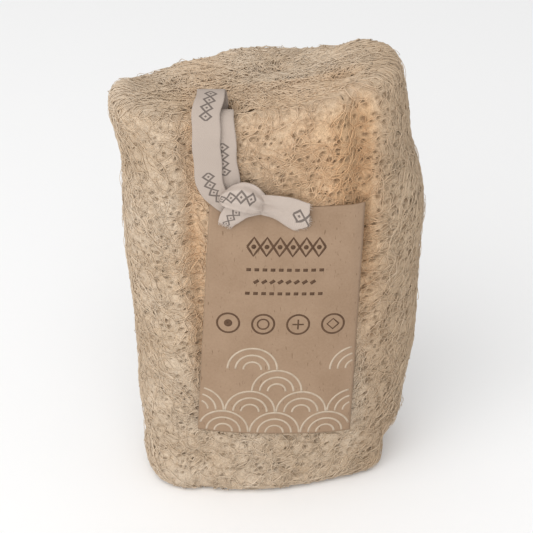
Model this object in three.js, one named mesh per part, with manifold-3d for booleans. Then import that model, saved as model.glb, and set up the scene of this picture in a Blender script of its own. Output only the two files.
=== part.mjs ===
// A natural loofah sponge with a hanging tape and a card label.
// Millimetres, +Z up. The sponge stands on its lower cut end; the origin is the middle of its footprint on the
// ground, +X is to the right and -Y is the front, where the tape comes over the rim and the label hangs.
// The dried fruit grew as one piece, so the whole fibre body is one solid: a pressed tube covered by a raised
// honeycomb net, with the seed chambers open at both cut ends.

import * as THREE from 'three';
import { mergeVertices } from 'three/addons/utils/BufferGeometryUtils.js';
import Module from 'manifold-3d';

const wasm = await Module();
wasm.setup();

// The fibre body: [height, value] stations from the ground to the top cut
const HALF_WIDTH = [[0, 48.2], [14, 50.8], [45, 54.2], [85, 55.9], [115, 56.4], [145, 54.8], [168, 52.6]];
const HALF_DEPTH = [[0, 30.6], [40, 31.6], [100, 31.1], [150, 29.1], [168, 28.4]];
const MIDDLE_X = [[0, -0.2], [25, 1.9], [60, 3.8], [105, 2.8], [140, -0.8], [168, -4.3]];
const MIDDLE_Y = 0.9;
const SQUARENESS = 2.5; // exponent of the pressed outline: 2 is an ellipse, more is squarer
const LEAN_IN_PLAN = 0.12; // the right-hand side lies further back than the left
const RIM_RADIUS = 5; // rounding where the wall meets each cut end

// The top cut: it rises to the right, dips along its middle and has a knob over the right-hand crease
const TOP_HEIGHT = 168;
const TOP_RISE_X = 0.06;
const TOP_RISE_Y = 0.01;
const TOP_DIP = 6;
const TOP_KNOB = { x: 35, height: 2.4, spread: 11 };

// The long creases pressed into the skin: middle, depth, spread, and the heights between which they deepen
const FRONT_CREASES = [
  { x: -29.4, depth: 5.0, spread: 3.2, from: 20, to: 80 },
  { x: 34.6, depth: 4.6, spread: 3.4, from: 40, to: 125 },
];
const BACK_CREASES = [
  { x: -24, depth: 3.0, spread: 4.0, from: 20, to: 90 },
  { x: 27, depth: 2.8, spread: 4.0, from: 40, to: 120 },
];
const LEFT_LOBE = { x: -41, bulge: 1.6, spread: 6 };
const PANEL = { left: -26.5, right: 30, leftRecess: 2.0, rightRecess: -1.3 }; // the flatter face under the label
const LUMP_HEIGHT = 0.9;
const TAPE_DENT = { x: -12, z: 128, depth: 2.0, spreadX: 6, spreadZ: 9 }; // where the tape presses the net

// The net: a lattice in which every third point is a pore and the six round it are fibre
const NET_COLUMNS = 75;
const NET_ROW = 3.7;
const NET_ROWS = 49;
const NET_START = -4;
const PORE_DEPTH = 2.5;
const FIBRE_HEIGHT = 0.8;
const NET_UNEVEN = 0.4; // how far a point may wander from the lattice
const CUT_CELL = 4.3;
const CUT_COLUMNS = 32;
const CUT_ROWS = 22;
const FOOT_FLAT_RADIUS = 15; // the middle of the foot has no pores

// The seed chambers: plan middle, half sizes, how far they reach in from the cut end, how much they narrow
// on the way, and how far they turn back to the right in plan
const TOP_CHAMBERS = [
  { x: -18.5, y: -16.6, halfX: 15, halfY: 6.8, reach: 44, taper: 0.3, lean: 0 },
  { x: 26.5, y: -2, halfX: 10.5, halfY: 5.2, reach: 40, taper: 0.5, lean: 0.12 },
  { x: 1, y: 9.5, halfX: 12, halfY: 4.6, reach: 36, taper: 0.5, lean: 0.12 },
  { x: -35, y: 3, halfX: 6.5, halfY: 3.8, reach: 22, taper: 0.5, lean: 0.12 },
];
const FOOT_CHAMBERS = [
  { x: -28, y: -5, halfX: 11, halfY: 5.0, reach: 26, taper: 0.5, lean: 0.12 },
  { x: 29, y: 2, halfX: 11, halfY: 5.0, reach: 24, taper: 0.5, lean: 0.12 },
];
const CHAMBER_COLUMNS = 18;
const CHAMBER_ROWS = 12;
const BRIDGE = { y: -17, z: 138, radius: 2.2, length: 36 }; // the fibre bridge that holds the tape

// The hanging tape: woven cotton, its loop round the bridge, its ends knotted in front of the label
const TAPE_WIDTH = 10;
const TAPE_THICKNESS = 0.9;
const TAPE_CLEARANCE = 0.35;
const TAPE_X_IN_CHAMBER = -20;
const FRAY_DEPTH = 1.2; // how far the ragged end is notched
const KNOT = { x: -11, z: 128.5, lift: 4.6, radii: [6.4, 2.5, 4.6] };

// The card label
const CARD = { x: 3.9, z: 79.2, width: 58, height: 99, thickness: 0.6, turn: -0.04 };
const CARD_HOLE = { x: -12.2, z: 124.3, radius: 2.9 };
const CARD_GAP = 0.4; // between the card's back and the highest fibres
const CARD_LIFT = FIBRE_HEIGHT + CARD_GAP + CARD.thickness / 2;

// From the sponge's own drawing to the middle of everything's footprint
const TO_ORIGIN = { x: -1.08, y: 0.89 };

const MATERIALS = {
  fibre: { color: 0xc8ab82, roughness: 0.92, metalness: 0 },
  tape: { color: 0xe6dfd2, roughness: 0.9, metalness: 0 },
  card: { color: 0xb08f6c, roughness: 0.85, metalness: 0 },
};

const clamp = THREE.MathUtils.clamp;
const bell = (distance, spread) => Math.exp(-0.5 * (distance / spread) ** 2);

// The value at `at` on a smooth line through [place, value] stations.
function between(stations, at) {
  const last = stations.length - 1;
  if (at <= stations[0][0]) return stations[0][1];
  if (at >= stations[last][0]) return stations[last][1];
  const k = stations.findIndex(([place]) => place > at);
  const [from, a] = stations[k - 1];
  const [to, b] = stations[k];
  return a + (b - a) * THREE.MathUtils.smoothstep(at, from, to);
}

// A repeatable draw from 0 to 1 for a lattice point.
function draw(i, j, salt) {
  const wave = Math.sin(i * 127.1 + j * 311.7 + salt * 74.7) * 43758.5453;
  return wave - Math.floor(wave);
}

// Which of the three kinds of lattice point (i, j) is; kind 0 is a pore.
const kindOf = (i, j) => (((i - j) % 3) + 3) % 3;

// The net's relief at a lattice point: down in a pore, up on the fibres, each a little different.
function netRelief(i, j, salt) {
  const vary = draw(i, j, salt);
  return kindOf(i, j) === 0 ? -PORE_DEPTH * (0.75 + 0.5 * vary) : FIBRE_HEIGHT * (0.5 + 0.5 * vary);
}

// Height of the top cut over a point of the plan.
function topHeight(x, y) {
  const across = clamp(Math.abs(x) / 57, 0, 1);
  const dip = TOP_DIP * (1 - across * across) * (0.6 - 0.4 * (y / 30));
  const knob = TOP_KNOB.height * bell(x - TOP_KNOB.x, TOP_KNOB.spread);
  const backLeft = 2.0 * bell(x + 30, 22) * bell(y - 24, 14);
  return TOP_HEIGHT + TOP_RISE_X * x + TOP_RISE_Y * y - dip + knob - backLeft;
}

// How far the wall draws in near a cut end, `away` from it.
function rimInset(away) {
  const rise = RIM_RADIUS - clamp(away, 0, RIM_RADIUS);
  return RIM_RADIUS - Math.sqrt(RIM_RADIUS ** 2 - rise ** 2);
}

// The wall's outward offset at a point of its front or back: creases, lobe, panel and lumps, without the net.
function skinOffset(x, z, front) {
  let offset = 0;
  for (const crease of front ? FRONT_CREASES : BACK_CREASES) {
    const deep = THREE.MathUtils.smoothstep(z, crease.from, crease.to);
    offset -= crease.depth * deep * bell(x - crease.x, crease.spread);
  }
  const lumps = Math.sin(0.095 * x + 0.03 * z + 1.3) * Math.sin(0.06 * z + 0.02 * x + 0.7);
  if (!front) return offset + LUMP_HEIGHT * lumps;
  offset += LEFT_LOBE.bulge * bell(x - LEFT_LOBE.x, LEFT_LOBE.spread);
  offset -= panelRecess(x);
  offset -= TAPE_DENT.depth * bell(x - TAPE_DENT.x, TAPE_DENT.spreadX) * bell(z - TAPE_DENT.z, TAPE_DENT.spreadZ);
  const offPanel = 1 - panelShare(x);
  return offset + LUMP_HEIGHT * offPanel * lumps;
}

// 1 on the flatter panel, 0 outside it, with soft edges.
function panelShare(x) {
  const rise = THREE.MathUtils.smoothstep(x, PANEL.left - 8, PANEL.left);
  const fall = THREE.MathUtils.smoothstep(x, PANEL.right, PANEL.right + 8);
  return rise * (1 - fall);
}

function panelRecess(x) {
  const along = clamp((x - PANEL.left) / (PANEL.right - PANEL.left), 0, 1);
  return panelShare(x) * (PANEL.leftRecess + (PANEL.rightRecess - PANEL.leftRecess) * along);
}

// Evenly spaced points of the wall's outline at a height, anticlockwise from +X.
function outlineAt(z, count) {
  const a = between(HALF_WIDTH, z);
  const b = between(HALF_DEPTH, z);
  const power = 2 / SQUARENESS;
  const points = [];
  for (let k = 0; k <= 360; k += 1) {
    const angle = THREE.MathUtils.degToRad(k);
    const c = Math.cos(angle);
    const s = Math.sin(angle);
    points.push(new THREE.Vector2(a * Math.sign(c) * Math.abs(c) ** power, b * Math.sign(s) * Math.abs(s) ** power));
  }
  return new THREE.Path(points).getSpacedPoints(count).slice(0, count);
}

// A point of the smooth front panel at (x, z), lifted towards the viewer.
function onFront(x, z, lift) {
  const across = x - between(MIDDLE_X, z);
  const share = clamp(Math.abs(across) / between(HALF_WIDTH, z), 0, 1);
  const depth = between(HALF_DEPTH, z) * (1 - share ** SQUARENESS) ** (1 / SQUARENESS);
  return new THREE.Vector3(x, MIDDLE_Y + LEAN_IN_PLAN * across - depth + panelRecess(x) - lift, z);
}

// A closed tube of triangles with `columns` points round each ring, every ring turned half a step on from the
// one below, and a fan over each end. pointAt(i, j) gives the points.
function latticeTube(columns, rows, pointAt) {
  const positions = [];
  const index = [];
  const middles = [new THREE.Vector3(), new THREE.Vector3()];
  for (let j = 0; j <= rows; j += 1) {
    for (let i = 0; i < columns; i += 1) {
      const point = pointAt(i, j);
      positions.push(point.x, point.y, point.z);
      if (j === 0) middles[0].addScaledVector(point, 1 / columns);
      if (j === rows) middles[1].addScaledVector(point, 1 / columns);
    }
  }
  for (const middle of middles) positions.push(middle.x, middle.y, middle.z);
  const at = (i, j) => j * columns + (i % columns);
  const foot = (rows + 1) * columns;
  for (let i = 0; i < columns; i += 1) {
    for (let j = 0; j < rows; j += 1) {
      index.push(at(i, j), at(i + 1, j), at(i, j + 1));
      index.push(at(i + 1, j), at(i + 1, j + 1), at(i, j + 1));
    }
    index.push(foot, at(i + 1, 0), at(i, 0));
    index.push(foot + 1, at(i, rows), at(i + 1, rows));
  }
  return indexedGeometry(positions, index);
}

// A slab whose top is topAt(x, y, i, j) and whose underside is footAt(x, y, i, j), over a triangular lattice.
function latticeSlab(columns, rows, cell, topAt, footAt) {
  const positions = [];
  const index = [];
  const layer = (columns + 1) * (rows + 1);
  for (const heightAt of [topAt, footAt]) {
    for (let j = 0; j <= rows; j += 1) {
      for (let i = 0; i <= columns; i += 1) {
        const x = (i - columns / 2 + (j % 2) / 2) * cell;
        const y = (j - rows / 2) * cell * Math.sqrt(0.75);
        positions.push(x, y, heightAt(x, y, i - Math.floor(j / 2), j));
      }
    }
  }
  const at = (i, j) => j * (columns + 1) + i;
  const addFace = (a, b, c) => index.push(a, b, c, c + layer, b + layer, a + layer);
  for (let j = 0; j < rows; j += 1) {
    for (let i = 0; i < columns; i += 1) {
      const turned = j % 2;
      addFace(at(i, j), at(i + 1, j), at(i + turned, j + 1));
      addFace(at(i + 1 - turned, j), at(i + 1, j + 1), at(i, j + 1));
    }
  }
  const addSide = (a, b) => index.push(b, a, a + layer, b, a + layer, b + layer);
  for (let i = 0; i < columns; i += 1) {
    addSide(at(i, 0), at(i + 1, 0));
    addSide(at(i + 1, rows), at(i, rows));
  }
  for (let j = 0; j < rows; j += 1) {
    addSide(at(columns, j), at(columns, j + 1));
    addSide(at(0, j + 1), at(0, j));
  }
  return indexedGeometry(positions, index);
}

function indexedGeometry(positions, index) {
  const geometry = new THREE.BufferGeometry();
  geometry.setAttribute('position', new THREE.Float32BufferAttribute(positions, 3));
  geometry.setIndex(index);
  return geometry;
}

// A three.js geometry as a solid that can be joined and cut.
function solidFrom(geometry) {
  const bare = geometry.clone();
  bare.deleteAttribute('normal');
  bare.deleteAttribute('uv');
  const merged = mergeVertices(bare, 1e-4);
  return new wasm.Manifold(new wasm.Mesh({
    numProp: 3,
    vertProperties: merged.attributes.position.array,
    triVerts: new Uint32Array(merged.index.array),
  }));
}

function geometryFrom(solid) {
  const { vertProperties, triVerts } = solid.getMesh();
  const geometry = indexedGeometry(vertProperties, Array.from(triVerts));
  geometry.computeVertexNormals();
  return geometry;
}

// The outer wall with its net, taller than the sponge at both ends.
function wallSolid() {
  const rings = [];
  for (let j = 0; j <= NET_ROWS; j += 1) rings.push(outlineAt(NET_START + j * NET_ROW, 2 * NET_COLUMNS));
  const pointAt = (i, j) => {
    const ring = rings[j];
    const step = (2 * i + j) % ring.length;
    const before = ring[(step + ring.length - 1) % ring.length];
    const after = ring[(step + 1) % ring.length];
    const along = after.clone().sub(before).normalize();
    const wander = NET_UNEVEN * (2 * draw(i, j, 1) - 1);
    const edgeRow = j === 0 || j === NET_ROWS;
    const z = NET_START + j * NET_ROW + (edgeRow ? 0 : NET_UNEVEN * (2 * draw(i, j, 2) - 1));
    const across = ring[step].x + along.x * wander;
    const x = across + between(MIDDLE_X, z);
    const y = ring[step].y + along.y * wander + LEAN_IN_PLAN * across + MIDDLE_Y;
    const inset = rimInset(Math.min(z, topHeight(x, y) - z));
    const out = skinOffset(x, z, ring[step].y < 0) + netRelief(i, j, 3) - inset;
    return new THREE.Vector3(x + along.y * out, y - along.x * out, z);
  };
  return solidFrom(latticeTube(NET_COLUMNS, NET_ROWS, pointAt));
}

// Everything between the two cut ends: the tilted top cut and the flat foot, both with pores.
function cutSlab() {
  const topAt = (x, y, i, j) => topHeight(x, y) + netRelief(i, j, 4);
  const footAt = (x, y, i, j) => {
    const pore = kindOf(i, j) === 0 && Math.hypot(x, y) > FOOT_FLAT_RADIUS;
    return pore ? 0.7 * PORE_DEPTH : 0;
  };
  return solidFrom(latticeSlab(CUT_COLUMNS, CUT_ROWS, CUT_CELL, topAt, footAt));
}

// The hollow of one seed chamber, from `reach` inside the cut end to well outside it.
function chamberHollow(chamber, cutHeight, inward) {
  const overshoot = 12;
  const rowHeight = (chamber.reach + overshoot) / CHAMBER_ROWS;
  const low = inward < 0 ? cutHeight - chamber.reach : cutHeight - overshoot;
  const pointAt = (i, j) => {
    const z = low + j * rowHeight;
    const deep = clamp(((cutHeight - z) * -inward) / chamber.reach, 0, 1);
    const size = 1 - chamber.taper * deep ** 2;
    const angle = ((i + 0.5 * j) / CHAMBER_COLUMNS) * 2 * Math.PI;
    const rough = 1 + 0.12 * (kindOf(i, j) === 0 ? 1 : -0.5) + 0.08 * (draw(i, j, chamber.x) - 0.5);
    const x = chamber.x + chamber.halfX * size * rough * Math.cos(angle);
    const y = chamber.y + chamber.halfY * size * rough * Math.sin(angle) + chamber.lean * (x - chamber.x);
    return new THREE.Vector3(x, y, z);
  };
  return solidFrom(latticeTube(CHAMBER_COLUMNS, CHAMBER_ROWS, pointAt));
}

function fibreBridge() {
  const bar = new THREE.CylinderGeometry(BRIDGE.radius, BRIDGE.radius, BRIDGE.length, 10);
  bar.rotateZ(Math.PI / 2);
  bar.translate(TAPE_X_IN_CHAMBER, BRIDGE.y, BRIDGE.z);
  return solidFrom(bar);
}

function spongeGeometry() {
  let sponge = wallSolid().intersect(cutSlab());
  const [tapeChamber, ...otherChambers] = TOP_CHAMBERS;
  const hollow = (chamber) => chamberHollow(chamber, topHeight(chamber.x, chamber.y), -1);
  sponge = sponge.subtract(hollow(tapeChamber).subtract(fibreBridge()));
  for (const chamber of otherChambers) sponge = sponge.subtract(hollow(chamber));
  for (const chamber of FOOT_CHAMBERS) sponge = sponge.subtract(chamberHollow(chamber, 0, 1));
  return geometryFrom(sponge);
}

// A flat strip swept along a path. Each stop is { at, across, width }; frayed = true gives it a ragged far end.
function strip(stops, steps, frayed = false) {
  const path = new THREE.CatmullRomCurve3(stops.map((stop) => stop.at), false, 'centripetal');
  const box = new THREE.BoxGeometry(1, 1, 1, 2, 1, steps);
  const corner = box.attributes.position;
  for (let k = 0; k < corner.count; k += 1) {
    const along = clamp(corner.getZ(k) + 0.5, 0, 1);
    const place = along * (stops.length - 1);
    const first = Math.min(Math.floor(place), stops.length - 2);
    const last = stops[first];
    const next = stops[first + 1];
    const share = place - first;
    const tangent = path.getTangent(along);
    const normal = tangent.clone().cross(last.across.clone().lerp(next.across, share)).normalize();
    const across = normal.clone().cross(tangent);
    const point = path.getPoint(along);
    point.addScaledVector(across, corner.getX(k) * THREE.MathUtils.lerp(last.width, next.width, share));
    point.addScaledVector(normal, corner.getY(k) * TAPE_THICKNESS);
    if (frayed && along === 1 && corner.getX(k) === 0) point.addScaledVector(tangent, -FRAY_DEPTH);
    corner.setXYZ(k, point.x, point.y, point.z);
  }
  return solidFrom(box);
}

// One stop of a strip; its width lies along X unless told otherwise.
function stop(at, width = TAPE_WIDTH, across = new THREE.Vector3(1, 0, 0)) {
  return { at, across, width };
}

// The tape's one long run: down the front as the upper strand, back up over the rim, round the fibre bridge
// and out again as the strand that passes behind the card and comes forward through its hole.
function tapeRun() {
  const x = TAPE_X_IN_CHAMBER;
  const round = BRIDGE.radius + TAPE_CLEARANCE + TAPE_THICKNESS;
  const inChamber = (y, z, shift = 0) => stop(new THREE.Vector3(x + shift, BRIDGE.y + y, z));
  const under = FIBRE_HEIGHT + TAPE_CLEARANCE + TAPE_THICKNESS / 2 + 0.2;
  const over = under + TAPE_THICKNESS + TAPE_CLEARANCE;
  return strip([
    stop(onFront(-15.5, 124, KNOT.lift - 0.8), 8),
    stop(onFront(-17.5, 129, KNOT.lift - 1.2), 8.5),
    stop(onFront(-20.6, 136, over + 0.3)),
    stop(onFront(-22.4, 144, over)),
    stop(onFront(-23, 152, over + 0.1)),
    stop(onFront(-23, 158.5, over - 0.3)),
    stop(onFront(-22.8, 163.8, over - 3.6)),
    inChamber(-4.5, 166.8, -1.4),
    inChamber(1.8, 165.4, -0.8),
    inChamber(round + 0.1, 158),
    inChamber(round, 148),
    inChamber(round, BRIDGE.z),
    inChamber(0, BRIDGE.z - round),
    inChamber(-round, BRIDGE.z),
    inChamber(-round, 148),
    inChamber(-round - 0.2, 158, 0.8),
    inChamber(-5.4, 163.2, 1.6),
    stop(onFront(-18.6, 162.4, under - 3.2)),
    stop(onFront(-18, 158, under - 0.4)),
    stop(onFront(-17.8, 151, under)),
    stop(onFront(-16.4, 142, under), 9),
    stop(onFront(-13.6, 135, 0.9), 6),
    stop(onFront(CARD_HOLE.x, CARD_HOLE.z + 6, -0.25), 4.4),
    stop(onFront(CARD_HOLE.x, CARD_HOLE.z + 1.6, 0), 4),
    stop(onFront(CARD_HOLE.x, CARD_HOLE.z, 1.7), 4),
    stop(onFront(CARD_HOLE.x, CARD_HOLE.z + 1.2, 3.6), 5),
    stop(onFront(KNOT.x, KNOT.z - 1, KNOT.lift), 6),
  ], 104);
}

// The end of the tape that crosses the front of the knot, from the short end to the long one.
function knotBand() {
  const upright = new THREE.Vector3(0.25, 0, 1).normalize();
  const slanted = new THREE.Vector3(-0.75, 0, 0.66).normalize();
  return strip([
    stop(onFront(-16.2, 121, 3.6), 9.8, slanted),
    stop(onFront(-14.8, 124.4, 5.2), 9.8, slanted),
    stop(onFront(-12, 128, 7.5), 9.4, slanted),
    stop(onFront(-7.4, 130.4, 6.8), 8.4, upright),
    stop(onFront(-2.6, 129.8, 4.9), 7.4, upright),
    stop(onFront(4, 127.2, 3.7), 8.8, upright),
    stop(onFront(13.4, 123.6, 3.2), 10.6, upright),
  ], 26, true);
}

// The turn that goes round the bundle at the top of the knot.
function knotTurn() {
  const upright = new THREE.Vector3(-0.2, 0, 1).normalize();
  return strip([
    stop(onFront(-18.4, 131.4, 3.7), 7, upright),
    stop(onFront(-15.4, 131.6, 6.6), 7.6, upright),
    stop(onFront(-10.4, 130, 7.2), 7.6, upright),
    stop(onFront(-6, 128, 5.4), 7, upright),
    stop(onFront(-4.6, 127.2, 3.6), 6.4, upright),
  ], 14);
}

function tapeGeometry() {
  const heart = new THREE.SphereGeometry(1, 14, 10);
  heart.scale(...KNOT.radii);
  const middle = onFront(KNOT.x, KNOT.z, KNOT.lift);
  heart.translate(middle.x, middle.y, middle.z);
  return geometryFrom(tapeRun().add(solidFrom(heart)).add(knotBand()).add(knotTurn()));
}

// The card lies along the panel, a little turned, and hangs from a round hole near its top left corner.
function cardGeometry() {
  const card = new THREE.BoxGeometry(CARD.width, CARD.thickness, CARD.height, 14, 1, 10);
  const corner = card.attributes.position;
  for (let k = 0; k < corner.count; k += 1) {
    const x = CARD.x + corner.getX(k) * Math.cos(CARD.turn) - corner.getZ(k) * Math.sin(CARD.turn);
    const z = CARD.z + corner.getX(k) * Math.sin(CARD.turn) + corner.getZ(k) * Math.cos(CARD.turn);
    const point = onFront(x, z, CARD_LIFT - corner.getY(k));
    corner.setXYZ(k, point.x, point.y, point.z);
  }
  const punch = new THREE.CylinderGeometry(CARD_HOLE.radius, CARD_HOLE.radius, 12, 24);
  const middle = onFront(CARD_HOLE.x, CARD_HOLE.z, CARD_LIFT);
  punch.translate(middle.x, middle.y, middle.z);
  return geometryFrom(solidFrom(card).subtract(solidFrom(punch)));
}

function namedMesh(name, geometry, finish) {
  geometry.translate(TO_ORIGIN.x, TO_ORIGIN.y, 0);
  const mesh = new THREE.Mesh(geometry, new THREE.MeshStandardMaterial(finish));
  mesh.name = name;
  return mesh;
}

const loofah = new THREE.Group();
loofah.name = 'loofah_sponge_with_label';
loofah.add(namedMesh('loofah_sponge', spongeGeometry(), MATERIALS.fibre));
loofah.add(namedMesh('hanging_tape', tapeGeometry(), MATERIALS.tape));
loofah.add(namedMesh('card_label', cardGeometry(), MATERIALS.card));

export default loofah;
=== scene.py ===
"""A natural loofah sponge with its cotton hanging tape and card label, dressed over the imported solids.

Sizes are in millimetres, as the maker's drawing gives them, and become metres when a mesh is made.
"""

import logging
import math
from dataclasses import dataclass
from enum import Enum

import bpy
import numpy as np
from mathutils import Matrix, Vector

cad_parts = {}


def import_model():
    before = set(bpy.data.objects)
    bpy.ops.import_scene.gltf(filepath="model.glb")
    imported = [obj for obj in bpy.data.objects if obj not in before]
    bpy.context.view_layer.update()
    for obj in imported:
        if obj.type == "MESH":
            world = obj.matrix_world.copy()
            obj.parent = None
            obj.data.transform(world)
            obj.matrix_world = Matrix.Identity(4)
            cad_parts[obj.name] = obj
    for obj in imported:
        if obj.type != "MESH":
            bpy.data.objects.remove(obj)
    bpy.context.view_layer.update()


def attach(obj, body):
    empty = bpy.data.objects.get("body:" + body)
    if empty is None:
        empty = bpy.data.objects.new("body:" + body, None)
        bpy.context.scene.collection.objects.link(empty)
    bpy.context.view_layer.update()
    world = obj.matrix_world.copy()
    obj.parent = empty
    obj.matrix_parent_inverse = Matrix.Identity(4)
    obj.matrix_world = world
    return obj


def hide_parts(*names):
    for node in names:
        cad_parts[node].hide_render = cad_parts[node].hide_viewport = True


Array = np.ndarray
Piece = bpy.types.Object
Socket = bpy.types.NodeSocket
Place = tuple[float, float, float]
Colour = tuple[float, float, float, float]
Value = Socket | Colour | float  # what a node's input takes
Stations = tuple[tuple[float, float], ...]  # (place, value) pairs in rising order
Line = tuple[Array, float, bool]  # a printed line: its path, its width and whether it closes

LOG = logging.getLogger("loofah")
METRES = 0.001
TO_ORIGIN = np.array([-1.08, 0.89, 0.0])  # the drawing's middle to the middle of the whole footprint
TURN = 2.0 * math.pi
CARD_HOLE = (-12.6, 125.8)  # X and Z of the hole in the card that the tape goes through


def srgb(red: int, green: int, blue: int) -> Colour:
    """A screen colour, 0 to 255 a channel, as linear light with full alpha."""
    linear = [((c / 255 + 0.055) / 1.055) ** 2.4 if c > 10 else c / 255 / 12.92 for c in (red, green, blue)]
    return (linear[0], linear[1], linear[2], 1.0)


def smooth_step(value: Array, low: float, high: float) -> Array:
    """0 below low, 1 above high, and an even S between them."""
    share = np.clip((value - low) / (high - low), 0.0, 1.0)
    return share * share * (3.0 - 2.0 * share)


def bell(distance: Array, spread: float) -> Array:
    """A bell curve, 1 at no distance."""
    return np.exp(-0.5 * (distance / spread) ** 2)


def between(stations: Stations, at: Array) -> Array:
    """The value at each place on a smooth line through (place, value) stations.

    Args:
        stations: Places in rising order, each with its value.
        at: The places to read.

    Returns:
        The values, held level outside the first and last station.
    """
    places = np.array([place for place, _ in stations])
    values = np.array([value for _, value in stations])
    held = np.clip(at, places[0], places[-1])
    first = np.clip(np.searchsorted(places, held, side="right") - 1, 0, len(places) - 2)
    share = (held - places[first]) / (places[first + 1] - places[first])
    return values[first] + (values[first + 1] - values[first]) * share * share * (3.0 - 2.0 * share)


def unit(vectors: Array) -> Array:
    """The vectors scaled to length 1 along their last axis."""
    return vectors / np.maximum(np.linalg.norm(vectors, axis=-1, keepdims=True), 1e-9)


class MeshMaker:
    """Puts whole arrays of points and faces, in drawing millimetres, into Blender meshes."""

    @staticmethod
    def make(name: str, points: Array, quads: Array, triangles: Array | None = None) -> Piece:
        """Builds one object from arrays.

        Args:
            name: The object's name.
            points: (n, 3) places in drawing millimetres.
            quads: (q, 4) corner numbers, anticlockwise from outside.
            triangles: (t, 3) corner numbers, or None.

        Returns:
            The new object, at the origin, with smooth faces.
        """
        mesh = bpy.data.meshes.new(name)
        corners = quads.reshape(-1)
        sizes = np.full(len(quads), 4)
        if triangles is not None and len(triangles):
            corners = np.concatenate([corners, triangles.reshape(-1)])
            sizes = np.concatenate([sizes, np.full(len(triangles), 3)])
        starts = np.concatenate([[0], np.cumsum(sizes)[:-1]])
        mesh.vertices.add(len(points))
        mesh.vertices.foreach_set("co", ((points + TO_ORIGIN) * METRES).astype(np.float32).reshape(-1))
        mesh.loops.add(len(corners))
        mesh.loops.foreach_set("vertex_index", corners.astype(np.int32))
        mesh.polygons.add(len(sizes))
        mesh.polygons.foreach_set("loop_start", starts.astype(np.int32))
        mesh.polygons.foreach_set("use_smooth", np.ones(len(sizes), dtype=bool))
        mesh.update(calc_edges=True)
        piece = bpy.data.objects.new(name, mesh)
        bpy.context.scene.collection.objects.link(piece)
        return piece

    @staticmethod
    def paint(piece: Piece, name: str, values: Array) -> None:
        """Keeps three numbers a point, such as depth, crease and chance, as a colour attribute.

        Args:
            piece: The object.
            name: The attribute's name.
            values: (n, 3) numbers, one row a point.
        """
        layer = piece.data.color_attributes.new(name, "FLOAT_COLOR", "POINT")
        full = np.concatenate([values, np.ones((len(values), 1))], axis=1)
        layer.data.foreach_set("color", full.astype(np.float32).reshape(-1))

    @staticmethod
    def grid_quads(rows: int, columns: int, closed: bool) -> Array:
        """Faces of a grid of rows x columns points, whose columns run anticlockwise seen from outside.

        Args:
            rows: Points upwards.
            columns: Points round.
            closed: Whether the last column joins the first.

        Returns:
            (n, 4) corner numbers.
        """
        j, i = np.meshgrid(np.arange(rows - 1), np.arange(columns if closed else columns - 1), indexing="ij")
        after = (i + 1) % columns
        faces = [j * columns + i, j * columns + after, (j + 1) * columns + after, (j + 1) * columns + i]
        return np.stack(faces, axis=-1).reshape(-1, 4)


def join_parts(parts: list[tuple[Array, Array]]) -> tuple[Array, Array]:
    """Several (points, quads) meshes as one, with the corner numbers of each moved on past the last.

    Args:
        parts: The meshes.

    Returns:
        (points, quads) of the whole.
    """
    starts = np.cumsum([0] + [len(points) for points, _ in parts])
    quads = [faces + start for (_, faces), start in zip(parts, starts)]
    return np.concatenate([points for points, _ in parts]), np.concatenate(quads)


@dataclass(frozen=True)
class Crease:
    """A long crease: its middle at z = 100, depth, spread, the heights between which it deepens, its orange
    tint, painted as crease shade and bounce light, its slant in millimetres a millimetre up, and the share of
    its strength lost again near the top."""

    x: float
    depth: float
    spread: float
    low: float
    high: float
    tint: float = 1.0
    slant: float = 0.0
    eased: float = 0.0

    def strength(self, x: Array, z: Array, widen: float = 1.0) -> Array:
        """How strongly each place lies in the crease.

        A bell across the slanted middle line, times a smooth rise with height that is eased near the top.

        Args:
            x: Drawing X.
            z: Drawing Z.
            widen: How much wider than the crease itself the bell is.

        Returns:
            0 to 1 at each place.
        """
        across = x - self.x - self.slant * (z - 100)
        along = smooth_step(z, self.low, self.high) * (1 - self.eased * smooth_step(z, 105, 135))
        return along * bell(across, self.spread * widen)


@dataclass(frozen=True)
class Swell:
    """A soft bell-shaped swelling of a surface over (u, v), or a hollow where its height is below 0."""

    u: float
    v: float
    spread_u: float
    spread_v: float
    height: float

    def at(self, u: Array, v: Array) -> Array:
        """Its height at each place."""
        return self.height * bell(u - self.u, self.spread_u) * bell(v - self.v, self.spread_v)


@dataclass(frozen=True)
class Chamber:
    """A seed chamber: its middle in plan, half sizes, reach inwards and turn in plan."""

    x: float
    y: float
    half_x: float
    half_y: float
    reach: float
    lean: float = 0.12

    def level(self, x: Array, y: Array) -> Array:
        """1 on the chamber's edge in plan, less inside it."""
        return np.hypot((x - self.x) / self.half_x, (y - self.y - self.lean * (x - self.x)) / self.half_y)


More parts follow.
